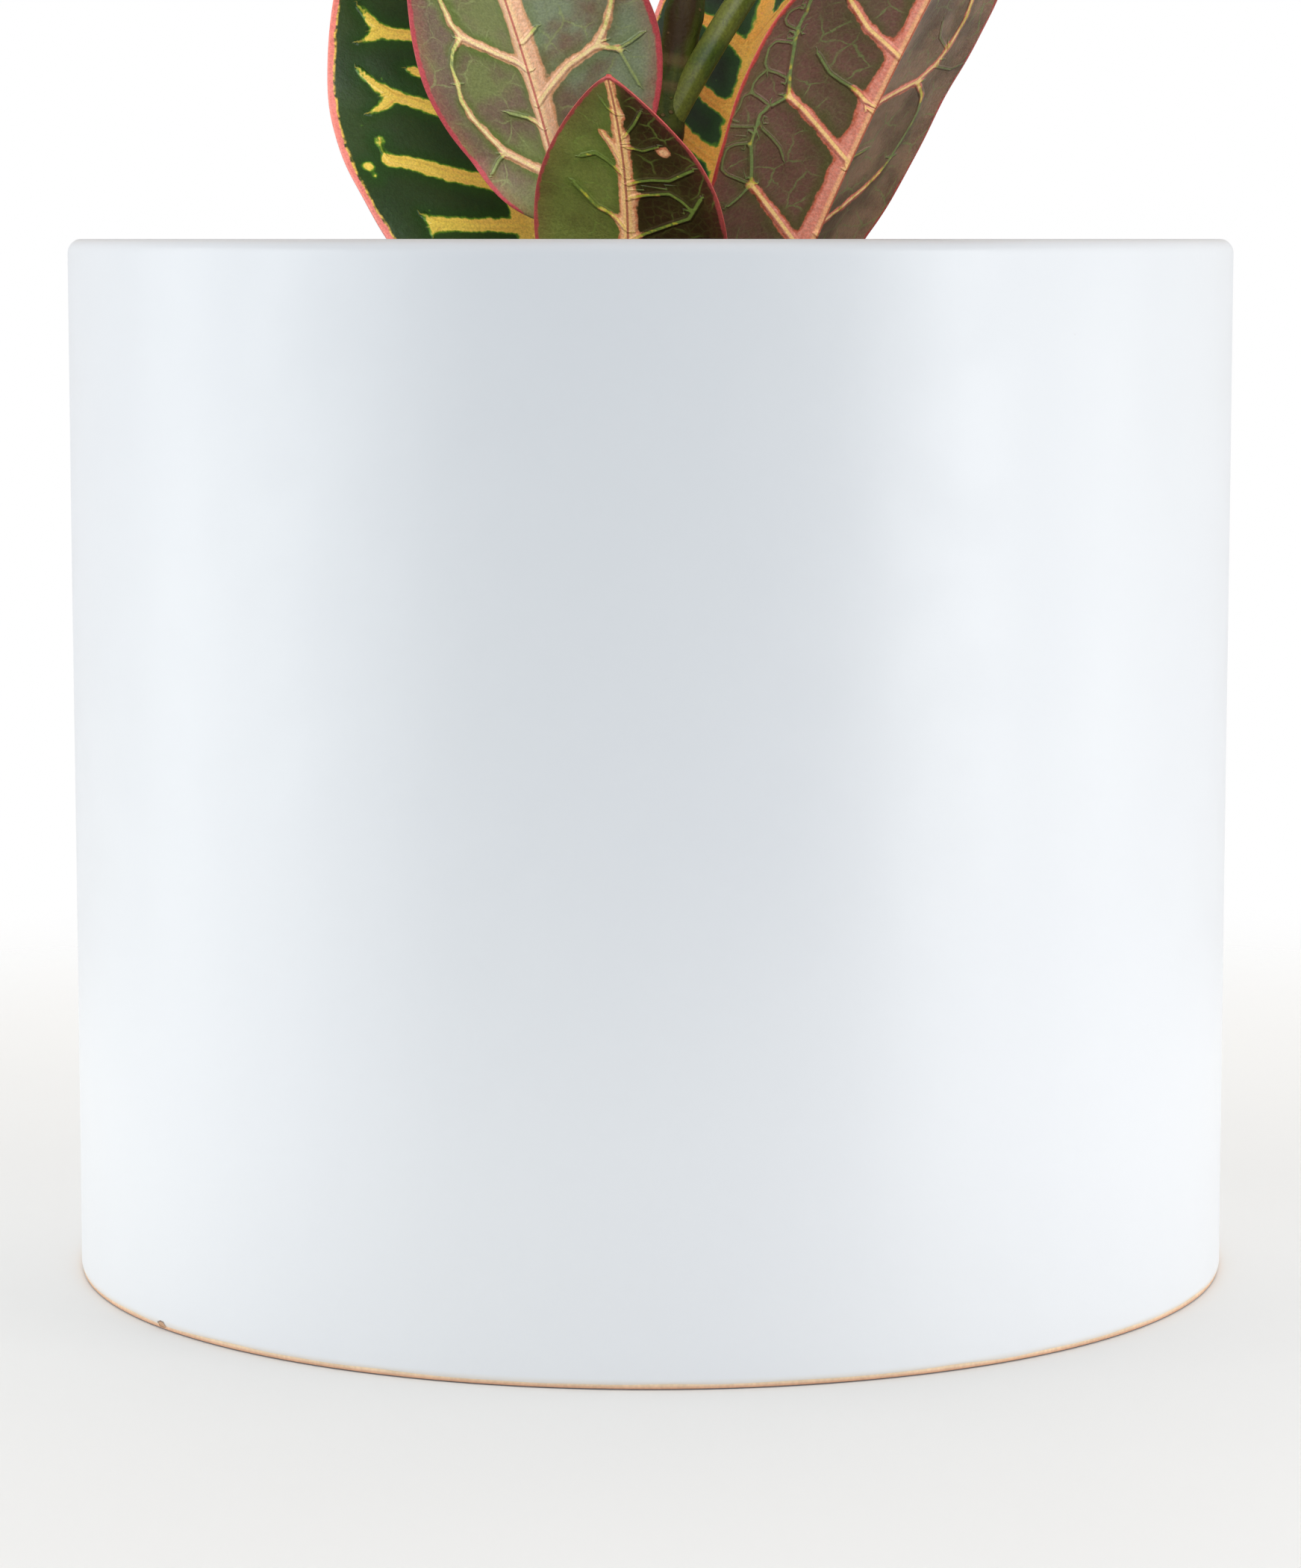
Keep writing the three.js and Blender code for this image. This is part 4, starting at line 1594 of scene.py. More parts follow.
@dataclass
class Soil:
    """The potting mix: a low crumbly dome with bark, clods and white grains on it.

    counts says how many crumbs of each kind lie on it, and stems where the three cuttings stand in it.
    """

    SEED = 7
    FILLET = 9.0
    STEM_CLEARANCE = 4.8
    BARK_SIZE = ((4, 13), (2.5, 6), (0.9, 2.2))
    GRIT_SIZE = (1.2, 3.2)
    CLOD_SIZE = (1.5, 5.5)

    radius: float = 93.3
    level: float = 130.0
    dome: float = 3.0
    bottom: float = 10.4
    segments: int = 200
    rings: int = 58
    counts: tuple[tuple[Crumb, int], ...] = ((Crumb.BARK, 230), (Crumb.CLOD, 420), (Crumb.GRIT, 150))
    stems: tuple[tuple[float, float], ...] = ((-5, 14), (-9, -6), (14, -5))
    mix: EarthFinish = EarthFinish("potting_mix", paint(66, 48, 34), paint(42, 30, 22))
    bark: EarthFinish = EarthFinish(
        "bark_chip", paint(116, 80, 52), paint(76, 50, 34), grain=420.0, depth=0.0003, roughness=0.85
    )
    clod: EarthFinish = EarthFinish("peat_clod", paint(58, 42, 30), paint(84, 62, 44), 700.0, 0.0003)
    grit: EarthFinish = EarthFinish(
        "perlite_grain", paint(232, 228, 216), paint(208, 200, 184), grain=900.0, depth=0.0002
    )

    def height(self, x: float, y: float) -> float:
        """The height of the mix at a place.

        Args:
            x, y: the place.

        Returns:
            The height of a lumpy dome that is drawn up a little round the stems.
        """
        share = math.hypot(x, y) / self.radius
        lumps = 1.5 * noise.noise(Vector((x, y, 3)) * 0.09) + 1.1 * noise.noise(Vector((x, y, 9)) * 0.27)
        crumbs = 0.5 * noise.noise(Vector((x, y, 17)) * 0.8)
        collar = 1.6 * math.exp(-((self.from_stems(x, y) / 9) ** 2))
        return self.level - 1.2 - self.dome * share * share + lumps + crumbs + collar

    def from_stems(self, x: float, y: float) -> float:
        """How far a place is from the middle of the nearest stem."""
        return min(math.hypot(x - stem[0], y - stem[1]) for stem in self.stems)

    def bed(self) -> bpy.types.Mesh:
        """The mix itself.

        Returns:
            Its closed mesh in metres.
        """
        edge = self.level - self.dome
        fillet = self.FILLET
        profile = [(0.0, self.bottom), (50.0, self.bottom)]
        profile += arc((self.radius - fillet, self.bottom + fillet), fillet, -90, 0, 5)
        profile += [(self.radius, lerp(self.bottom + fillet, edge - 3, i / 6)) for i in range(1, 7)]
        profile += [(self.radius * (1 - i / self.rings), edge) for i in range(self.rings + 1)]
        shape = turn(profile, self.segments)
        for point in shape.verts:
            if point.co.z > edge - 1:
                point.co.z = self.height(point.co.x, point.co.y)
        mark(shape, "crumb_shade", lambda point: 0.5 + 0.5 * noise.noise(point.co * 0.15))
        shape.transform(Matrix.Scale(MM, 4))
        return mesh_from(shape, "potting_mix")

    def crumb(self, kind: Crumb, dice: np.random.Generator) -> bmesh.types.BMesh:
        """One loose crumb about its own middle.

        Args:
            kind: what it is.
            dice: the draws that shape it.

        Returns:
            A closed lump of a few dozen faces.
        """
        lump = bmesh.new()
        if kind is Crumb.BARK:
            bmesh.ops.create_cube(lump, size=1)
            bmesh.ops.subdivide_edges(lump, edges=lump.edges[:], cuts=1, use_grid_fill=True)
            size = [dice.uniform(*sides) for sides in self.BARK_SIZE]
            rough = 0.16
        else:
            bmesh.ops.create_icosphere(lump, subdivisions=2, radius=0.5)
            across = dice.uniform(*(self.GRIT_SIZE if kind is Crumb.GRIT else self.CLOD_SIZE))
            size = (across, across * dice.uniform(0.65, 1), across * dice.uniform(0.5, 0.85))
            rough = 0.14
        shift = Vector(dice.uniform(-50, 50, 3))
        for point in lump.verts:
            point.co += rough * 1.6 * noise.noise_vector(point.co * 2.1 + shift)
        bmesh.ops.scale(lump, vec=size, verts=lump.verts[:])
        tilt = Euler((dice.uniform(-0.45, 0.45), dice.uniform(-0.45, 0.45), dice.uniform(0, math.tau)))
        bmesh.ops.rotate(lump, matrix=tilt.to_matrix(), verts=lump.verts[:])
        return lump

    def scatter(self, kind: Crumb, count: int, dice: np.random.Generator) -> bpy.types.Mesh:
        """Strews crumbs over the mix, clear of the stems and of the pot's wall.

        Args:
            kind: what they are.
            count: how many.
            dice: the draws that shape and place them.

        Returns:
            All of them as one mesh in metres.
        """
        heap = bmesh.new()
        shade = heap.verts.layers.float.new("crumb_shade")
        for _ in range(count):
            lump = self.crumb(kind, dice)
            size = max(point.co.length for point in lump.verts)
            while True:
                x, y = dice.uniform(-self.radius, self.radius, 2)
                clear = self.from_stems(x, y) > size + self.STEM_CLEARANCE
                if clear and math.hypot(x, y) + size < self.radius - 0.3:
                    break
            sunk = 0.1 * size if kind is Crumb.BARK else 0.3 * size
            level = self.height(x, y) + sunk * dice.uniform(-0.6, 1)
            bmesh.ops.translate(lump, vec=(x, y, level), verts=lump.verts[:])
            tint = dice.uniform(0, 1)
            part = bpy.data.meshes.new("crumb")
            lump.to_mesh(part)
            lump.free()
            before = len(heap.verts)
            heap.from_mesh(part)
            bpy.data.meshes.remove(part)
            heap.verts.ensure_lookup_table()
            for point in heap.verts[before:]:
                point[shade] = tint
        heap.transform(Matrix.Scale(MM, 4))
        return mesh_from(heap, f"loose_{kind.value}")

    def build(self) -> None:
        """Builds and dresses the mix and what lies on it."""
        add_piece("potting_mix", self.bed(), self.mix.material(), "soil")
        finishes = {Crumb.BARK: self.bark, Crumb.CLOD: self.clod, Crumb.GRIT: self.grit}
        noise.seed_set(self.SEED)
        dice = np.random.default_rng(self.SEED)
        for kind, count in self.counts:
            mesh = self.scatter(kind, count, dice)
            if kind is Crumb.BARK:
                mesh.shade_flat()
            add_piece(f"loose_{kind.value}", mesh, finishes[kind].material(), "soil")


@dataclass(frozen=True)
class StemFinish:
    """Woody and lenticelled below, green above, brown at the leaf scars."""

    wood: Colour = paint(70, 48, 22)
    wood_deep: Colour = paint(46, 30, 14)
    green: Colour = paint(46, 56, 8)
    green_light: Colour = paint(66, 72, 16)
    scar: Colour = paint(104, 80, 48)
    rust: Colour = paint(50, 20, 10)

    def material(self) -> bpy.types.Material:
        """One finish for the whole stem, told apart by what the mesh carries.

        Returns:
            The finished material.
        """
        recipe = Recipe("cutting_stem")
        place = recipe.attribute("stem_mm", "Vector")
        drawn = recipe.stretched(place, (1.0, 1.0, 0.2))
        streak = recipe.ramp(recipe.noise(drawn, 0.5, 4, 0.6), 0.38, 0.62)
        wood = recipe.blend(streak, self.wood, self.wood_deep)
        green = recipe.blend(streak, self.green, self.green_light)
        uneven = recipe.math("SUBTRACT", recipe.noise(place, 0.09, 3), 0.5)
        woody = recipe.ramp(recipe.plus(recipe.attribute("woodiness"), uneven), 0.35, 0.6)
        colour = recipe.blend(woody, green, wood)
        rust = recipe.ramp(recipe.noise(drawn, 0.2, 2), 0.52, 0.64)
        colour = recipe.blend(recipe.times(rust, 0.75), colour, self.rust)
        cells = recipe.node("TexVoronoi", {"Vector": place, "Scale": 0.3}, voronoi_dimensions="3D")
        pore = recipe.ramp(cells.outputs["Distance"], 0.16, 0.1)
        colour = recipe.blend(recipe.times(pore, 0.7), colour, self.scar)
        colour = recipe.blend(recipe.attribute("scar_share"), colour, self.scar)
        relief = recipe.bump(recipe.noise(place, 1.2, 4, 0.6), 0.0003)
        relief = recipe.bump(pore, 0.0002, relief)
        return recipe.finish(Base_Color=colour, Roughness=0.6, Normal=relief, Specular_IOR_Level=0.22)


@dataclass
class LeafyStem:
    """A rooted cutting: its stem and all its leaves.

    outward is the azimuth to which it grows, spread how wide its fan of leaves is, and start where the fan's
    spiral begins. path holds the control points of the stem's axis, and low the leaves set one by one.
    """

    NODE_SWELL = 0.35
    SCAR_SWELL = 0.25
    BARK_SWELL = 0.16

    name: str
    outward: float
    spread: float
    start: float
    path: tuple[tuple[float, float, float], ...]
    low: tuple[Leaf, ...]
    fan_count: int = 11
    tuft_count: int = 6
    foot_radius: float = 4.3
    top_radius: float = 1.9
    sides: int = 28
    rings: int = 220

    def point(self, along: float) -> np.ndarray:
        """A point on the stem's axis.

        Args:
            along: 0 at the stem's foot in the mix, 1 at its tip.

        Returns:
            The point in millimetres.
        """
        control = np.array(self.path, float)
        t, s = along, 1 - along
        return s**3 * control[0] + 3 * s * s * t * control[1] + 3 * s * t**2 * control[2] + t**3 * control[3]

    def stem(self, leaves: list[Leaf], chance: int) -> bpy.types.Mesh:
        """The cutting's stem, thickened at its leaves and ringed with the scars of fallen ones.

        Args:
            leaves: the leaves that it carries.
            chance: the number that the old scars are drawn from.

        Returns:
            Its closed mesh in metres.
        """
        dice = np.random.default_rng(chance)
        shape = bmesh.new()
        bmesh.ops.create_grid(shape, x_segments=self.sides, y_segments=self.rings, size=1)
        old = dice.uniform(0.02, 0.5, 7)
        living = np.array([leaf.form.along for leaf in leaves])
        frames = [self.frame(i / self.rings) for i in range(self.rings + 1)]
        woody = shape.verts.layers.float.new("woodiness")
        scarred = shape.verts.layers.float.new("scar_share")
        place = shape.verts.layers.float_vector.new("stem_mm")
        steps = np.diff([self.point(i / 20) for i in range(21)], axis=0)
        length = float(np.linalg.norm(steps, axis=1).sum())
        for point in shape.verts:
            ring = round((point.co.y + 1) / 2 * self.rings)
            turned = math.pi * (point.co.x + 1)
            along = ring / self.rings
            middle, side, up = frames[ring]
            node = float(np.exp(-(((living - along) * length / 2.6) ** 2)).sum())
            scar = float(np.exp(-(((old - along) * length / 0.8) ** 2)).max())
            tip = math.sqrt(max(1 - max((along - 0.985) / 0.015, 0) ** 2, 0.02))
            radius = lerp(self.foot_radius, self.top_radius, along)
            radius += self.NODE_SWELL * min(node, 1.3) + self.SCAR_SWELL * scar
            cos, sin = math.cos(turned), math.sin(turned)
            radius += self.BARK_SWELL * noise.noise(Vector((2.2 * cos, 2.2 * sin, along * length / 9)))
            point.co = Vector(middle + (cos * side + sin * up) * radius * tip)
            point[woody] = 1.15 - 2.2 * along
            point[scarred] = min(scar, 1) * 0.8
            point[place] = Vector((radius * cos, radius * sin, along * length))
        bmesh.ops.remove_doubles(shape, verts=shape.verts[:], dist=0.002)
        bmesh.ops.holes_fill(shape, edges=[edge for edge in shape.edges if edge.is_boundary], sides=0)
        bmesh.ops.recalc_face_normals(shape, faces=shape.faces[:])
        shape.transform(Matrix.Scale(MM, 4))
        return mesh_from(shape, f"{self.name}_wood")

    def frame(self, along: float) -> tuple[np.ndarray, np.ndarray, np.ndarray]:
        """The axis and what lies across it.

        Args:
            along: 0 at the stem's foot, 1 at its tip.

        Returns:
            A point on the axis, and two directions across it.
        """
        step = 0.002
        low = self.point(max(along - step, 0))
        forward = self.point(min(along + step, 1)) - low
        forward /= np.linalg.norm(forward)
        side = np.array([1.0, 0.0, 0.0]) - forward * forward[0]
        side /= np.linalg.norm(side)
        return self.point(along), side, np.cross(forward, side)

    def fan_leaf(self, i: int, dice: Dice) -> Leaf:
        """One of the large leaves that spread outwards, by the rule of the solid.

        Args:
            i: its number in the fan, from 0 for the lowest.
            dice: the draws that vary it.

        Returns:
            The leaf, bronze where it is old and green where it is young.
        """
        share = i / (self.fan_count - 1)
        length = lerp(138, 98, share) * (1 + dice.stray(0.07))
        aside = self.spread * lerp(0.42, 0.62, share) * wrapped(self.start + i * GOLDEN_ANGLE)
        azimuth = self.outward + aside + dice.stray(4)
        elevation = lerp(46, 60, share) + dice.stray(3)
        droop = lerp(30, 16, share) + dice.stray(4)
        turn, roll = dice.stray(14), dice.stray(8)
        width = length * 0.42 * (1 + dice.stray(0.05))
        form = LeafForm(
            along=lerp(0.46, 0.9, share), azimuth=azimuth, elevation=elevation, length=length, width=width,
            petiole=lerp(30, 16, share), turn=turn, droop=droop, roll=roll, phase=dice.draw(0, 1),
        )
        old = i < 4 or i in (6, 8)
        finish = BRONZE_LEAF if old else GREEN_LEAF
        boldness = lerp(0.8, 1.1, dice.state % 97 / 97)
        return Leaf(f"{self.name}_fan_{i + 1:02d}", form, finish, boldness)

    def tuft_leaf(self, i: int, dice: Dice) -> Leaf:
        """One of the small leaves at the stem's tip, by the rule of the solid.

        Args:
            i: its number in the tuft, from 0 for the lowest.
            dice: the draws that vary it.

        Returns:
            The leaf.
        """
        share = i / (self.tuft_count - 1)
        length = lerp(80, 40, share)
        azimuth = self.outward + 180 + i * GOLDEN_ANGLE + dice.stray(6)
        droop, turn = 8 + dice.stray(4), dice.stray(10)
        form = LeafForm(
            along=lerp(0.93, 0.99, share), azimuth=azimuth, elevation=lerp(62, 82, share), length=length,
            width=length * lerp(0.42, 0.3, share), petiole=lerp(9, 4, share), turn=turn, droop=droop,
            wave=0.8, phase=dice.draw(0, 1),
        )
        return Leaf(f"{self.name}_tuft_{i + 1:02d}", form, TUFT_LEAF, mesh=(26, 56))

    def leaves(self, dice: Dice) -> list[Leaf]:
        """All the leaves, in the order in which the solid draws them.

        Args:
            dice: the draws, which the cuttings share.

        Returns:
            The low leaves, the fan and the tuft.
        """
        fan = [self.fan_leaf(i, dice) for i in range(self.fan_count)]
        tuft = [self.tuft_leaf(i, dice) for i in range(self.tuft_count)]
        return [*self.low, *fan, *tuft]


# ---- The three cuttings ----

VEINS_A = (
    Traced(((553, 50), (519, 45), (494, 27), (481, 10)), (1.05, 1.0, 0.7, 0.2), rooted=True),
    Traced(((519, 45), (500, 50), (481, 57)), (0.8, 0.6, 0.1)),
    Traced(
        ((582, 147), (546, 135), (527, 130), (500, 112), (481, 95)),
        (1.2, 1.15, 1.0, 0.7, 0.2), rooted=True,
    ),
    Traced(((527, 130), (515, 141), (496, 152)), (0.9, 0.7, 0.1)),
    Traced(((643, 242), (599, 234), (557, 221), (521, 215)), (1.45, 1.4, 1.3, 1.15), rooted=True),
    Traced(((521, 215), (511, 203), (508, 191)), (0.5, 0.1, 0.5), 0.3),
    Traced(((493, 225),), (0.9,), 0.0),
    Traced(((503, 236),), (0.35,), 0.0),
    Traced(((508, 189),), (0.6,), 0.0),
    Traced(((681, 303), (647, 303), (584, 301), (567, 288)), (1.3, 1.2, 1.05, 0.2), rooted=True),
    Traced(((584, 301), (580, 313)), (0.9, 0.3)),
    Traced(((575, 100), (561, 97), (546, 94)), (0.9, 0.9, 0.3), 0.4),
    Traced(((519, -45), (490, -62), (470, -80)), (1.0, 0.9, 0.3), rooted=True),
)
VEINS_B = (
    Traced(
        ((730, 124), (760, 87), (799, 60), (811, 34), (818, 7), (822, -20)),
        (1.0, 0.9, 0.8, 0.6, 0.4, 0.1), rooted=True,
    ),
    Traced(((799, 60), (829, 64)), (0.6, 0.1)),
    Traced(((829, 64), (845, 92), (857, 112)), THREAD, 0.5),
    Traced(((829, 64), (846, 54), (859, 44)), THREAD, 0.5),
    Traced(
        ((703, 87), (666, 71), (632, 55), (618, 48), (604, 30), (590, 0), (585, -30)),
        (1.0, 0.9, 0.8, 0.7, 0.5, 0.3, 0.1), rooted=True,
    ),
    Traced(((618, 48), (607, 67), (605, 87), (613, 110)), (0.5, 0.2, -0.1, -0.1), 0.8),
    Traced(
        ((745, 235), (721, 225), (678, 204), (655, 181), (632, 156), (618, 133), (613, 110)),
        (1.0, 0.9, 0.75, 0.6, 0.45, 0.3, 0.1), rooted=True,
    ),
    Traced(((726, 165), (706, 156), (682, 150)), (0.5, 0.0, -0.3), 0.7),
    Traced(((701, 53), (709, 46), (717, 37)), (0.3, -0.1, -0.3), 0.7),
    Traced(((678, 204), (668, 214), (660, 230)), (-0.2, -0.4), 0.5),
)
VEINS_C = (
    Traced(((838, 301), (820, 285), (799, 273), (784, 257), (770, 243)), (0.4, 0.25, 0.15, 0.0, -0.1)),
    Traced(((836, 216), (821, 194), (808, 176)), (0.9, 0.8, 0.4), 0.4),
    Traced(((832, 228), (815, 214), (798, 203), (780, 207)), (-0.2, -0.4), 0.6),
    Traced(((841, 195), (862, 201), (880, 196)), (-0.2, -0.4), 0.5),
    Traced(((845, 243), (872, 240), (897, 241), (927, 228)), (-0.1, -0.4), 0.7),
    Traced(((848, 262), (897, 258), (913, 268), (927, 281)), (-0.1, -0.4), 0.7),
    Traced(((846, 319), (880, 306), (923, 292), (939, 266)), (0.1, -0.4), 0.8),
    Traced(((828, 150), (815, 143), (806, 131)), (-0.2, -0.4), 0.5),
    Traced(((838, 180), (850, 165), (858, 150)), (-0.3, -0.4), 0.5),
    Traced(((890, 203),), (1.0,), 0.0),
)
VEINS_D = (
    Traced(
        ((1198, 68), (1181, 53), (1162, 36), (1148, 14), (1139, 0), (1128, -25)),
        (1.0, 0.85, 0.75, 0.65, 0.5, 0.2), rooted=True,
    ),
    Traced(
        ((1128, 207), (1112, 188), (1095, 168), (1076, 146), (1056, 127)),
        (1.0, 0.9, 0.8, 0.7, 0.5), rooted=True,
    ),
    Traced(
        ((1056, 127), (1057, 98), (1067, 39), (1080, 13), (1094, -20)),
        (0.3, -0.2, -0.4, -0.4, -0.4), 0.8,
    ),
    Traced(((1056, 127), (1030, 142), (1017, 152), (1005, 191), (1006, 219), (1005, 245)), THREAD, 0.8),
    Traced(((1061, 319), (1035, 284), (1005, 245)), (1.0, 0.8, 0.5), rooted=True),
    Traced(((1005, 245), (990, 262), (976, 274)), THREAD, 0.6),
    Traced(((1159, 134), (1150, 124), (1141, 116)), (0.7, 0.4, 0.0), 0.8),
    Traced(((1141, 116), (1126, 107), (1110, 96), (1095, 70)), THREAD, 0.5),
    Traced(
        ((1169, 142), (1227, 108), (1250, 87), (1268, 65), (1293, 23), (1306, -15)),
        (0.95, 0.85, 0.75, 0.6, 0.45, 0.3), rooted=True,
    ),
    Traced(((1227, 108), (1231, 117), (1234, 127)), (0.5, 0.3, 0.1), 0.8),
    Traced(((1250, 87), (1272, 92), (1290, 84)), THREAD, 0.35),
    Traced(((1268, 65), (1258, 48), (1262, 28)), THREAD, 0.3),
    Traced(((1234, 127), (1229, 147), (1221, 163), (1207, 186), (1193, 207)), (0.1, -0.3, -0.4, -0.4), 0.8),
    Traced(
        ((1088, 307), (1125, 277), (1159, 248), (1180, 226), (1194, 207)),
        (0.8, 0.7, 0.55, 0.3, 0.05), rooted=True,
    ),
    Traced(((1131, 217), (1145, 207), (1159, 199)), (0.1, -0.4), 0.7),
    Traced(
        ((1060, 56), (1039, 54), (1030, 62), (1024, 83), (1028, 93), (1041, 97), (1055, 104)),
        THREAD, 0.4,
    ),
    Traced(((1028, 93), (1017, 100), (1008, 112), (1006, 123), (1016, 129), (1030, 140)), THREAD, 0.4),
    Traced(((1006, 123), (995, 128), (990, 143), (978, 160)), THREAD, 0.25),
    Traced(((1017, 167), (1000, 169), (976, 168)), THREAD, 0.25),
    Traced(
        ((1004, 191), (984, 193), (973, 198), (968, 212), (966, 226), (973, 233), (1000, 244)),
        THREAD, 0.35,
    ),
    Traced(((1081, 14), (1071, 8), (1057, 14), (1051, 26), (1054, 32), (1071, 40)), THREAD, 0.35),
    Traced(((1016, 167), (1033, 183), (1044, 196), (1049, 212)), THREAD, 0.35),
)
VEINS_E = (
    Traced(((1005, 76), (988, 58), (951, 29), (907, 11)), (1.2, 1.2, 1.1, 1.0), rooted=True),
    Traced(((977, 150), (947, 130), (915, 95)), (1.2, 1.2, 0.2), rooted=True),
    Traced(((955, 212), (914, 177), (890, 158)), (1.3, 1.3, 1.0), rooted=True),
    Traced(((920, 88),), (0.3,), 0.0),
)

LOW_A = Leaf(
    "low_leaf_a",
    LeafForm(
        along=0.01, azimuth=132, elevation=62.5, length=110, width=60.5, petiole=20,
        turn=-3, droop=4.5, roll=-24, fold=5.5, widest=0.44,
    ),
    finish=DARK_LEAF,
    traced=VEINS_A,
    hidden_half=-1,
    band=(3.8, 3.2, 2.2, 0.6),
    mesh=(76, 168),
)
LOW_E = Leaf(
    "low_leaf_e",
    LeafForm(
        along=0.07, azimuth=53, elevation=60, length=104, width=47.5, petiole=20,
        turn=9, droop=-3, fold=12, widest=0.45,
    ),
    finish=replace(
        DARK_LEAF,
        name="deep_green_leaf",
        blade=paint(31, 50, 20),
        blade_patch=paint(24, 40, 20),
        vein=paint(242, 196, 88),
        vein_deep=paint(240, 168, 74),
    ),
    traced=VEINS_E,
    hidden_half=-1,
    band=(0.6, 1.7, 1.9, 0.6),
    band_shift=-2.1,
    mesh=(64, 150),
)
LOW_REAR = Leaf(
    "low_leaf_rear",
    LeafForm(
        along=0.12, azimuth=175, elevation=68, length=104, width=44.7, petiole=20,
        droop=16,
    ),
    finish=BRONZE_LEAF,
)
LOW_F = Leaf(
    "low_leaf_f",
    LeafForm(
        along=0.36, azimuth=5, elevation=62, length=104, width=48, petiole=36,
        turn=20, droop=26, stalk=0.05,
    ),
    finish=replace(
        DARK_LEAF, name="green_stalked_leaf", stalk=paint(70, 88, 28), stalk_light=paint(108, 114, 44)
    ),
    mesh=(46, 120),
)
LOW_C = Leaf(
    "low_leaf_c",
    LeafForm(
        along=0.04, azimuth=-86, elevation=54.5, length=69, width=33, petiole=16.5,
        turn=-36, droop=12.5, roll=-14, fold=3, widest=0.49, wave=0.4,
    ),
    finish=OLIVE_BROWN_UNDERSIDE,
    traced=VEINS_C,
    band=(2.2, 1.9, 1.4, 0.6),
    mesh=(64, 140),
)
LOW_B = Leaf(
    "low_leaf_b",
    LeafForm(
        along=0.19, azimuth=-117.5, elevation=59, length=80, width=44.5, petiole=17,
        turn=-25, droop=4, roll=14, fold=18, widest=0.4, wave=0.5,
    ),
    finish=OLIVE_UNDERSIDE,
    traced=VEINS_B,
    spacing=1.5,
    band=(1.6, 1.6, 2.0, 0.5),
    band_shift=0.5,
    mesh=(76, 168),
)
LOW_D = Leaf(
    "low_leaf_d",
    LeafForm(
        along=0.09, azimuth=-53.5, elevation=58, length=119, width=50, petiole=15.5,
        turn=4, droop=13, roll=5, fold=13, widest=0.41, wave=0.8,
    ),
    finish=BROWN_UNDERSIDE,
    traced=VEINS_D,
    spacing=1.5,
    band=(1.6, 1.4, 1.2, 0.4),
    band_shift=-1.05,
    mesh=(76, 180),
)
LOW_SIDE = Leaf(
    "low_leaf_side",
    LeafForm(
        along=0.16, azimuth=6, elevation=61, length=106, width=46, petiole=20,
        droop=4,
    ),
    finish=DARK_LEAF,
)

CUTTINGS = (
    LeafyStem(
        "leafy_stem_back",
        outward=72,
        spread=1.15,
        start=20,
        path=((-5, 14, 134), (-5, 14, 190), (18, 28, 236), (26, 52, 398)),
        low=(LOW_A, LOW_E, LOW_REAR, LOW_F),
    ),
    LeafyStem(
        "leafy_stem_left",
        outward=192,
        spread=1,
        start=150,
        path=((-9, -6, 134), (-9, -6, 185), (-28, -8, 262), (-54, -14, 382)),
        low=(LOW_C, LOW_B),
    ),
    LeafyStem(
        "leafy_stem_right",
        outward=-38,
        spread=1,
        start=300,
        path=((14, -5, 134), (14, -5, 182), (46, -28, 255), (60, -46, 366)),
        low=(LOW_D, LOW_SIDE),
    ),
)


# ---- Light and floor ----


@dataclass(frozen=True)
class Softbox:
    """A soft rectangular light that faces the plant.

    Its distance and size are in metres, and its radiance is how bright its face is.
    """

    name: str
    azimuth: float
    elevation: float
    distance: float
    width: float
    height: float
    radiance: float
    colour: tuple[float, float, float] = (1.0, 1.0, 1.0)

    def add(self) -> bpy.types.Object:
        """Adds the light to the scene.

        Returns:
            Its lamp.
        """
        data = bpy.data.lights.new(self.name, "AREA")
        data.shape = "RECTANGLE"
        data.size, data.size_y = self.width, self.height
        data.energy = self.radiance * math.pi * self.width * self.height
        data.color = self.colour
        turned, raised = math.radians(self.azimuth), math.radians(self.elevation)
        flat = math.cos(raised)
        heading = Vector((flat * math.cos(turned), flat * math.sin(turned), math.sin(raised)))
        lamp = bpy.data.objects.new(self.name, data)
        lamp.location = heading * self.distance + Vector((0, 0, 0.12))
        lamp.rotation_euler = heading.to_track_quat("Z", "Y").to_euler()
        bpy.context.scene.collection.objects.link(lamp)
        return lamp


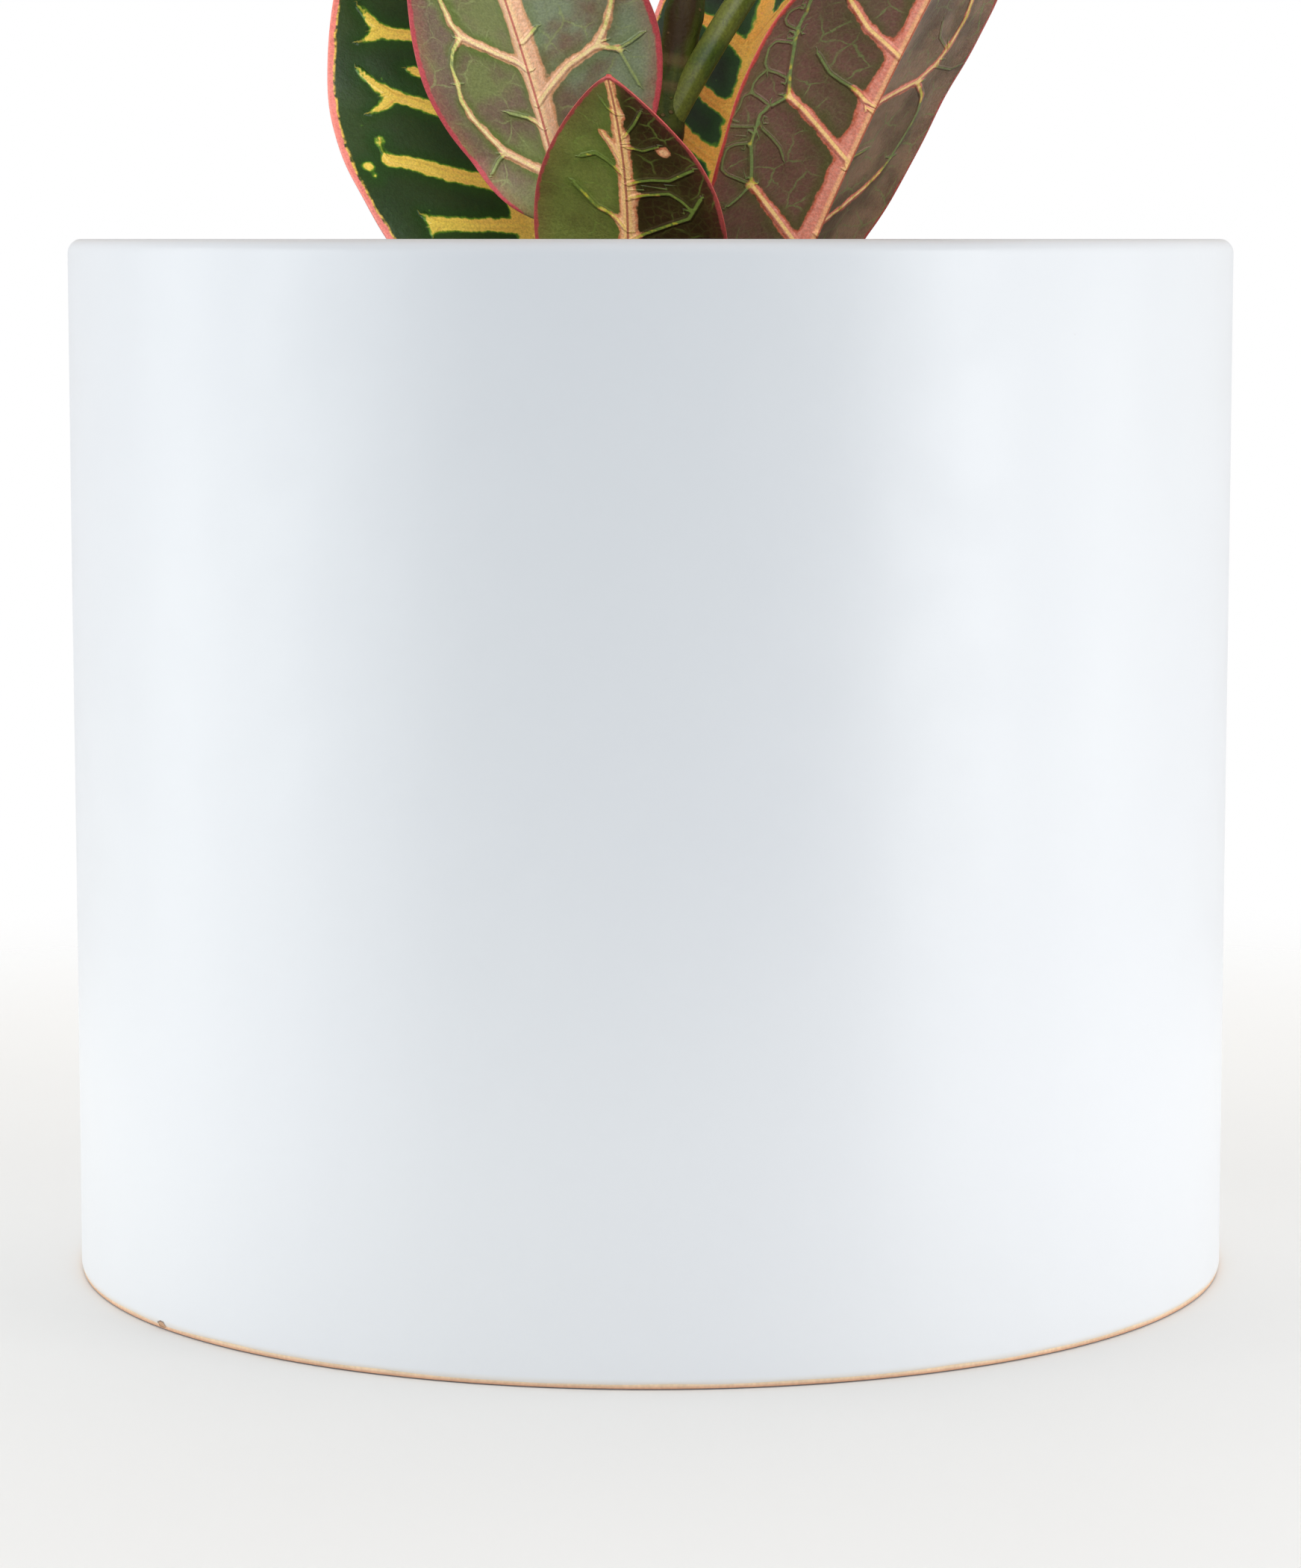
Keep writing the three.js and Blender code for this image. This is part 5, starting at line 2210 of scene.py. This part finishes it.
@dataclass
class Studio:
    """A plain pale floor and plain soft light: bright from the sides, dimmer from the viewer's side.

    The floor fades out between the two radii of floor_fade. All its measures are in metres.
    """

    floor_radius: float = 6.0
    floor_fade: tuple[float, float] = (0.24, 0.46)
    softboxes: tuple[Softbox, ...] = (
        Softbox(
            "right_front_softbox", azimuth=-34, elevation=10, distance=1.3,
            width=0.6, height=1.0, radiance=2.65,
        ),
        Softbox(
            "right_softbox", azimuth=-8, elevation=10, distance=1.3,
            width=1.0, height=1.0, radiance=1.05,
        ),
        Softbox(
            "left_front_softbox", azimuth=-150, elevation=10, distance=1.3,
            width=0.8, height=1.0, radiance=1.5, colour=(0.95, 0.98, 1.0),
        ),
        Softbox(
            "left_softbox", azimuth=-178, elevation=10, distance=1.3,
            width=1.0, height=1.0, radiance=1.35, colour=(0.97, 0.99, 1.0),
        ),
        Softbox(
            "top_softbox", azimuth=80, elevation=80, distance=1.6,
            width=1.4, height=1.4, radiance=1.5,
        ),
    )
    leaf_fill: Softbox = Softbox(
        "leaf_fill", azimuth=-93, elevation=24, distance=1.6,
        width=1.5, height=1.1, radiance=4.8,
    )
    sky_behind: Colour = (0.66, 0.66, 0.66, 1)
    sky_in_front: Colour = (0.28, 0.325, 0.37, 1)
    sky_overhead: Colour = (0.78, 0.78, 0.78, 1)
    sky_seen: Colour = (1, 1, 1, 1)

    def build(self) -> None:
        """Adds the floor, the light all round and the softboxes."""
        shape = bmesh.new()
        bmesh.ops.create_circle(shape, cap_ends=True, segments=96, radius=self.floor_radius)
        mesh = mesh_from(shape, "studio_floor")
        floor = bpy.data.objects.new("studio_floor", mesh)
        bpy.context.scene.collection.objects.link(floor)
        recipe = Recipe("pale_floor")
        near, far = self.floor_fade
        shown = recipe.ramp(recipe.length(recipe.place()), far, near)
        material = recipe.finish(
            Base_Color=(0.83, 0.82, 0.8, 1), Roughness=0.9, Alpha=shown,
            Emission_Color=(1, 0.99, 0.97, 1), Emission_Strength=0.02,
        )
        mesh.materials.append(material)
        self.sky()
        for softbox in self.softboxes:
            softbox.add()

    def fill_leaves(self, leaves: list[bpy.types.Object]) -> None:
        """Adds the soft fill from the front that is masked off the pot, so that it lights the leaves alone.

        Args:
            leaves: the leaves and stems that it lights.
        """
        lit = bpy.data.collections.new("lit_by_leaf_fill")
        shading = bpy.data.collections.new("shading_leaf_fill")
        for leaf in leaves:
            lit.objects.link(leaf)
            if "low_leaf" in leaf.name or "wood" in leaf.name:
                shading.objects.link(leaf)
        linking = self.leaf_fill.add().light_linking
        linking.receiver_collection = lit
        linking.blocker_collection = shading

    def sky(self) -> None:
        """White behind the plant, bright overhead, and a dimmer, bluish light from the viewer's side."""
        world = bpy.data.worlds.new("studio_world")
        world.use_nodes = True
        bpy.context.scene.world = world
        nodes = Nodes(world.node_tree)
        _, depth, rise = nodes.axes(nodes.node("TexCoord", {}).outputs["Generated"])
        front = nodes.node("MapRange", {"Value": depth, "From Min": 0.1, "From Max": -0.8}).outputs[0]
        overhead = nodes.node("MapRange", {"Value": rise, "From Min": 0.35, "From Max": 0.85}).outputs[0]
        light = nodes.blend(front, self.sky_behind, self.sky_in_front)
        light = nodes.blend(overhead, light, self.sky_overhead)
        seen = nodes.node("LightPath", {}).outputs["Is Camera Ray"]
        background = world.node_tree.nodes["Background"]
        nodes.feed(background.inputs["Color"], nodes.blend(seen, light, self.sky_seen))


def main() -> None:
    """Builds the picture piece by piece."""
    logging.basicConfig(level=logging.INFO, format="%(name)s: %(message)s")
    bpy.context.scene.view_settings.view_transform = "Standard"
    view = PhotoView()
    view.place_camera()
    studio = Studio()
    studio.build()
    Pot().build()
    log.info("pot")
    Soil().build()
    log.info("potting mix")
    builder = LeafBuilder(view)
    dice = Dice(21)
    wood = StemFinish().material()
    foliage: list[bpy.types.Object] = []
    finishes: dict[str, bpy.types.Material] = {}
    for stem_number, cutting in enumerate(CUTTINGS):
        leaves = cutting.leaves(dice)
        stem = cutting.stem(leaves, 50 + stem_number)
        foliage.append(add_piece(stem.name, stem, wood, cutting.name))
        for number, leaf in enumerate(leaves):
            if leaf.finish.name not in finishes:
                finishes[leaf.finish.name] = leaf.finish.material()
            mesh = builder.build(leaf, cutting.point(leaf.form.along), 100 * stem_number + number)
            mesh.name = leaf.name
            foliage.append(add_piece(leaf.name, mesh, finishes[leaf.finish.name], cutting.name))
        log.info("%s: %d leaves", cutting.name, number + 1)
    studio.fill_leaves(foliage)


if __name__ == "__main__":
    main()
